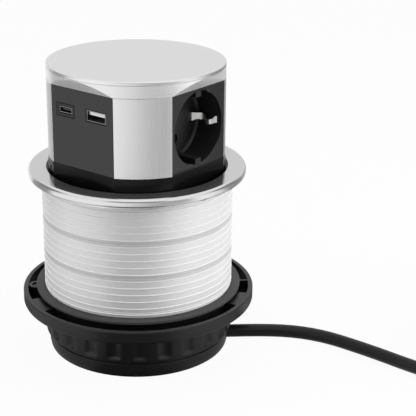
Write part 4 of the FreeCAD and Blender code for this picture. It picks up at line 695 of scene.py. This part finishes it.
def fluted(azimuth, r, z):
    """The radius of the grip's wall where round flutes are cut into it, faded out up and down."""
    if r < FLUTED_FROM or z < FLUTE_LOW[0] or z > FLUTE_HIGH[1]:
        return r
    pitch = 2 * math.pi / FLUTES
    offset = (azimuth + pitch / 2) % pitch - pitch / 2
    across = FLUTE_CENTRE * math.sin(offset)
    if abs(across) >= FLUTE_RADIUS:
        return r
    cut = FLUTE_CENTRE * math.cos(offset) - math.sqrt(FLUTE_RADIUS ** 2 - across ** 2)
    near = max(FLUTE_SOFTNESS - abs(r - cut), 0.0) / FLUTE_SOFTNESS
    lowest = min(r, cut) - near * near * FLUTE_SOFTNESS / 4
    fade = ease(z, *FLUTE_LOW) * (1 - ease(z, *FLUTE_HIGH))
    return r + (lowest - r) * fade


def make_nut():
    mesh = bmesh.new()
    foot = [(RING_BORE, 9.8), (GRIP_RADIUS, 9.8, 0.8)]
    grip = [(GRIP_RADIUS, z) for z in GRIP_ROWS]
    sweep(mesh, rounded(foot + grip + FLANGE_PROFILE), NUT_COLUMNS, shape=fluted)
    for azimuth, width in BLOCKS:
        sweep(mesh, rounded(BLOCK_PROFILE), BLOCK_COLUMNS, azimuth - width / 2, width)
    for azimuth in TOWERS:
        turn = math.radians(azimuth)
        centre = (TOWER_DISTANCE * math.sin(turn), -TOWER_DISTANCE * math.cos(turn))
        sweep(mesh, rounded(TOWER_PROFILE), TOWER_COLUMNS, centre=centre)
    keep("lock_nut_moulded", mesh, "black_satin", "lock_nut", "lock_nut")


def make_base():
    mesh = bmesh.new()
    sweep(mesh, rounded(BASE_PROFILE))
    keep("base_cap_moulded", mesh, "black_satin", "housing", "base_cap")


# Earth clips: a bent strip in each well, its feet, risers, bows and tips of different widths

SOCKET_MIDDLE = 135.0
# Depth behind the face, distance across, shift upwards and half width
CLIP_LINE = [
    (19.0, 0.0, 0.0, 2.4), (19.0, 9.0, 0.0, 2.4), (18.6, 12.6, 0.0, 2.4), (17.2, 13.5, 0.0, 2.5),
    (15.9, 13.9, 0.2, 2.3), (14.2, 15.6, 0.5, 1.8), (12.4, 17.0, 0.5, 1.8), (10.8, 17.7, 0.3, 1.7),
    (9.2, 17.1, -0.8, 1.35), (7.4, 15.7, -1.2, 1.3), (5.8, 15.5, -1.2, 1.3), (4.2, 16.4, -0.9, 1.35),
    (3.2, 17.7, 0.0, 1.8), (2.6, 18.6, 0.0, 1.8),
]
CLIP_SHEET = 0.5
CLIP_STEPS = 4


def smooth_line(points):
    """More points on a smooth line through the given ones."""
    found = []
    count = len(points)
    for i in range(count - 1):
        around = [Vector(points[min(max(i + k, 0), count - 1)]) for k in (-1, 0, 1, 2)]
        before, here, following, after = around
        for k in range(CLIP_STEPS):
            t = k / CLIP_STEPS
            square = 2 * before - 5 * here + 4 * following - after
            cube = 3 * here - before - 3 * following + after
            found.append(0.5 * (2 * here + (following - before) * t + square * t * t + cube * t ** 3))
    found.append(Vector(points[-1]))
    return found


def face_point(azimuth, depth, across, height):
    """A place given by its depth behind a flat face, its distance along it and its height."""
    turn = math.radians(azimuth)
    out = FLAT_OUT - depth
    return Vector((out * math.sin(turn) + across * math.cos(turn),
                   -out * math.cos(turn) + across * math.sin(turn), height)) * MM


def make_earth_clips():
    """The line is one side's half, so the strip goes along its mirror image and back out along it."""
    half = smooth_line(CLIP_LINE)
    line = [Vector((p[0], -p[1], p[2], p[3])) for p in half[:0:-1]] + half
    for side, azimuth in SOCKETS.items():
        mesh = bmesh.new()
        sections = []
        for i, p in enumerate(line):
            before, after = line[max(i - 1, 0)], line[min(i + 1, len(line) - 1)]
            along = Vector((after[0] - before[0], after[1] - before[1])).normalized()
            aside = Vector((-along.y, along.x)) * CLIP_SHEET / 2
            section = []
            for thick, wide in ((1, -1), (1, 1), (-1, 1), (-1, -1)):
                depth, across = p[0] + thick * aside.x, p[1] + thick * aside.y
                height = SOCKET_MIDDLE + p[2] + wide * p[3]
                section.append(mesh.verts.new(face_point(azimuth, depth, across, height)))
            sections.append(section)
        for here, following in zip(sections, sections[1:]):
            for i in range(4):
                j = (i + 1) % 4
                mesh.faces.new((here[i], here[j], following[j], following[i]))
        mesh.faces.new(sections[0][::-1])
        mesh.faces.new(sections[-1])
        name = "earth_clips_" + side
        keep(name + "_bent", mesh, "spring_contact", "head", name)


# Lift springs and coiled lead

COIL_STATIONS = 12
# Rise of a closed end turn, in radii of the wire
CLOSED_RISE = 2.1
# Node, material, wire's diameter, open turns and closed turns at each end
COILS = (
    ("lift_spring_front", "plain_steel", 1.1, 11, 1),
    ("lift_spring_rear", "plain_steel", 1.1, 11, 1),
    ("coiled_lead", "cord_sheath", 3.4, 5, 0),
)


def make_coil(name, material, diameter, turns, end_turns):
    """A round wire wound in its node's sleeve, closer at both ends."""
    low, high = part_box(name)
    reach = (high[0] - low[0]) / 2
    wire = diameter * MM / 2
    centre = ((low[0] + high[0]) / 2, (low[1] + high[1]) / 2)
    ring = (reach - wire) / math.cos(math.pi / COIL_STATIONS)
    start, rise = low[2] + wire, high[2] - low[2] - 2 * wire
    whole = turns + 2 * end_turns
    end_rise = end_turns * CLOSED_RISE * wire
    spline_points = []
    for k in range(whole * COIL_STATIONS + 1):
        turned = k / COIL_STATIONS
        if turned < end_turns:
            up = end_rise * turned / end_turns
        elif turned > whole - end_turns:
            up = rise - end_rise * (whole - turned) / end_turns
        else:
            up = end_rise + (rise - 2 * end_rise) * (turned - end_turns) / turns
        angle = 2 * math.pi * turned
        x, y = centre[0] + ring * math.sin(angle), centre[1] - ring * math.cos(angle)
        spline_points.append((x, y, start + up))
    curve = bpy.data.curves.new(name + "_line", "CURVE")
    curve.dimensions = "3D"
    curve.bevel_depth = wire
    curve.bevel_resolution = 3
    curve.use_fill_caps = True
    spline = curve.splines.new("NURBS")
    spline.points.add(len(spline_points) - 1)
    for point, place in zip(spline.points, spline_points):
        point.co = (*place, 1.0)
    spline.order_u = 3
    spline.use_endpoint_u = True
    spline.resolution_u = 3
    line = bpy.data.objects.new(name + "_line", curve)
    scene.collection.objects.link(line)
    bpy.context.view_layer.update()
    shown = line.evaluated_get(bpy.context.evaluated_depsgraph_get())
    wound = bpy.data.meshes.new_from_object(shown)
    bpy.data.objects.remove(line)
    bpy.data.curves.remove(curve)
    mesh = bmesh.new()
    mesh.from_mesh(wound)
    bpy.data.meshes.remove(wound)
    piece = keep(name + "_wound", mesh, material, "housing", name)
    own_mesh(piece)


# Softened edges on moulded and pressed pieces that keep their CAD shape

SOFT_WIDTHS = {
    "socket_right": 0.3, "socket_rear": 0.3, "socket_left": 0.3, "usb_plate": 0.3, "lower_ring": 0.3,
    "corner_panel_front": 0.3, "corner_panel_right": 0.3, "corner_panel_rear": 0.3,
    "corner_panel_left": 0.3, "cap_ring": 0.12,
}
SEAM_WIDTH = 0.000005
FLAT_ANGLE = 0.5
EDGE_ANGLE = 34.0


def soften(name, width):
    """Joins the facets of a node's flat faces and rounds its edges."""
    thing = nodes[name]
    weld = thing.modifiers.new("weld", "WELD")
    weld.merge_threshold = SEAM_WIDTH
    flat = thing.modifiers.new("flat", "DECIMATE")
    flat.decimate_type = "DISSOLVE"
    flat.angle_limit = math.radians(FLAT_ANGLE)
    edge = thing.modifiers.new("edge", "BEVEL")
    edge.limit_method = "ANGLE"
    edge.angle_limit = math.radians(EDGE_ANGLE)
    edge.width = width * MM
    edge.segments = 2
    edge.use_clamp_overlap = True
    weigh_normals(thing)


make_collar()
make_stack()
make_nut()
make_base()
make_earth_clips()
for coil in COILS:
    make_coil(*coil)
for name, width in SOFT_WIDTHS.items():
    soften(name, width)


# Supply cord: the route's own points, then the coil's turns and the tail

CORD_RADIUS = 3.7
# The coil: its radius where the cord enters it, its quarter turns on the floor and over them, the
# distance from one turn to the next, and the points of a turn
COIL_OUTER = 51.0
COIL_LOW_QUARTERS = 10
COIL_TOP_QUARTERS = 11
COIL_STEP = 8.0
COIL_POINTS = 16
PLUG_CORD_HEIGHT = 5.2
# The tail from the coil's top to the plug: run, turn in degrees and height of each point
TAIL = (
    (18.0, 0.0, CORD_RADIUS + COIL_STEP), (20.0, 16.0, 7.4), (20.0, 22.0, PLUG_CORD_HEIGHT),
    (18.0, 22.0, PLUG_CORD_HEIGHT),
)
ROUTE = [
    (28.0, -4.2, CORD_RADIUS),
    (66.0, -1.2, CORD_RADIUS),
    (101.0, -7.2, CORD_RADIUS),
    (130.0, -31.2, CORD_RADIUS),
    (152.0, -53.0, CORD_RADIUS),
    (173.0, -68.0, CORD_RADIUS),
    (193.0, -75.0, CORD_RADIUS),
]


def coil_and_tail(route):
    """The coil goes on from the route and turns left, in on the floor and out on top; then the tail."""
    last = Vector(route[-1])
    heading = (last - Vector(route[-2])).normalized()
    entry = last + heading * 2 * CORD_RADIUS
    pull = math.atan(COIL_STEP / 4 / (COIL_OUTER * math.pi / 2))
    towards = math.atan2(heading.y, heading.x) - pull
    centre = entry + Vector((-math.sin(towards), math.cos(towards), 0.0)) * COIL_OUTER
    shrink = COIL_STEP / 4
    middle = COIL_LOW_QUARTERS
    quarters = COIL_LOW_QUARTERS + COIL_TOP_QUARTERS
    points = []
    steps = quarters * COIL_POINTS // 4
    # The spline cuts inside its points, so they stand out by the sagitta of half a step
    spread = 1 / math.cos(math.pi / COIL_POINTS) ** 0.5
    for i in range(steps + 1):
        k = i * 4 / COIL_POINTS
        angle = towards - math.pi / 2 + k * math.pi / 2
        radius = (COIL_OUTER - shrink * (middle - abs(k - middle))) * spread
        climb = min(max(k - middle + 1, 0.0), 2.0) / 2
        rise = climb * climb * (3 - 2 * climb) * COIL_STEP
        points.append(centre + Vector((radius * math.cos(angle), radius * math.sin(angle), rise)))
    end_angle = towards + (quarters - 1) * math.pi / 2
    end_radius = COIL_OUTER + shrink * (quarters - 2 * middle)
    way = Vector((-math.sin(end_angle), math.cos(end_angle), 0.0)) * (end_radius * math.pi / 2)
    way = (way + Vector((math.cos(end_angle), math.sin(end_angle), 0.0)) * shrink).normalized()
    end = centre + Vector((math.cos(end_angle), math.sin(end_angle), 0.0)) * end_radius
    end.z = CORD_RADIUS + COIL_STEP
    point = end + way * 2 * CORD_RADIUS
    points.append(point)
    bearing = math.atan2(way.y, way.x)
    for run, swing, height in TAIL:
        bearing += math.radians(swing)
        point = Vector((point.x + run * math.cos(bearing), point.y + run * math.sin(bearing), height))
        points.append(point)
    return points


def make_cord():
    points = [Vector(p) for p in ROUTE] + coil_and_tail(ROUTE)
    curve = bpy.data.curves.new("supply_cord", "CURVE")
    curve.dimensions = "3D"
    spline = curve.splines.new("NURBS")
    spline.points.add(len(points) - 1)
    for place, point in zip(spline.points, points):
        place.co = (*(point * MM), 1.0)
    spline.order_u = 3
    spline.use_endpoint_u = True
    spline.resolution_u = 6
    curve.bevel_depth = CORD_RADIUS * MM
    curve.bevel_resolution = 6
    curve.use_fill_caps = True
    cord = bpy.data.objects.new("supply_cord", curve)
    scene.collection.objects.link(cord)
    curve.materials.append(materials["cord_sheath"])
    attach(cord, "housing")
    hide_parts("power_cord", "cord_coil", "cord_tail")


make_cord()
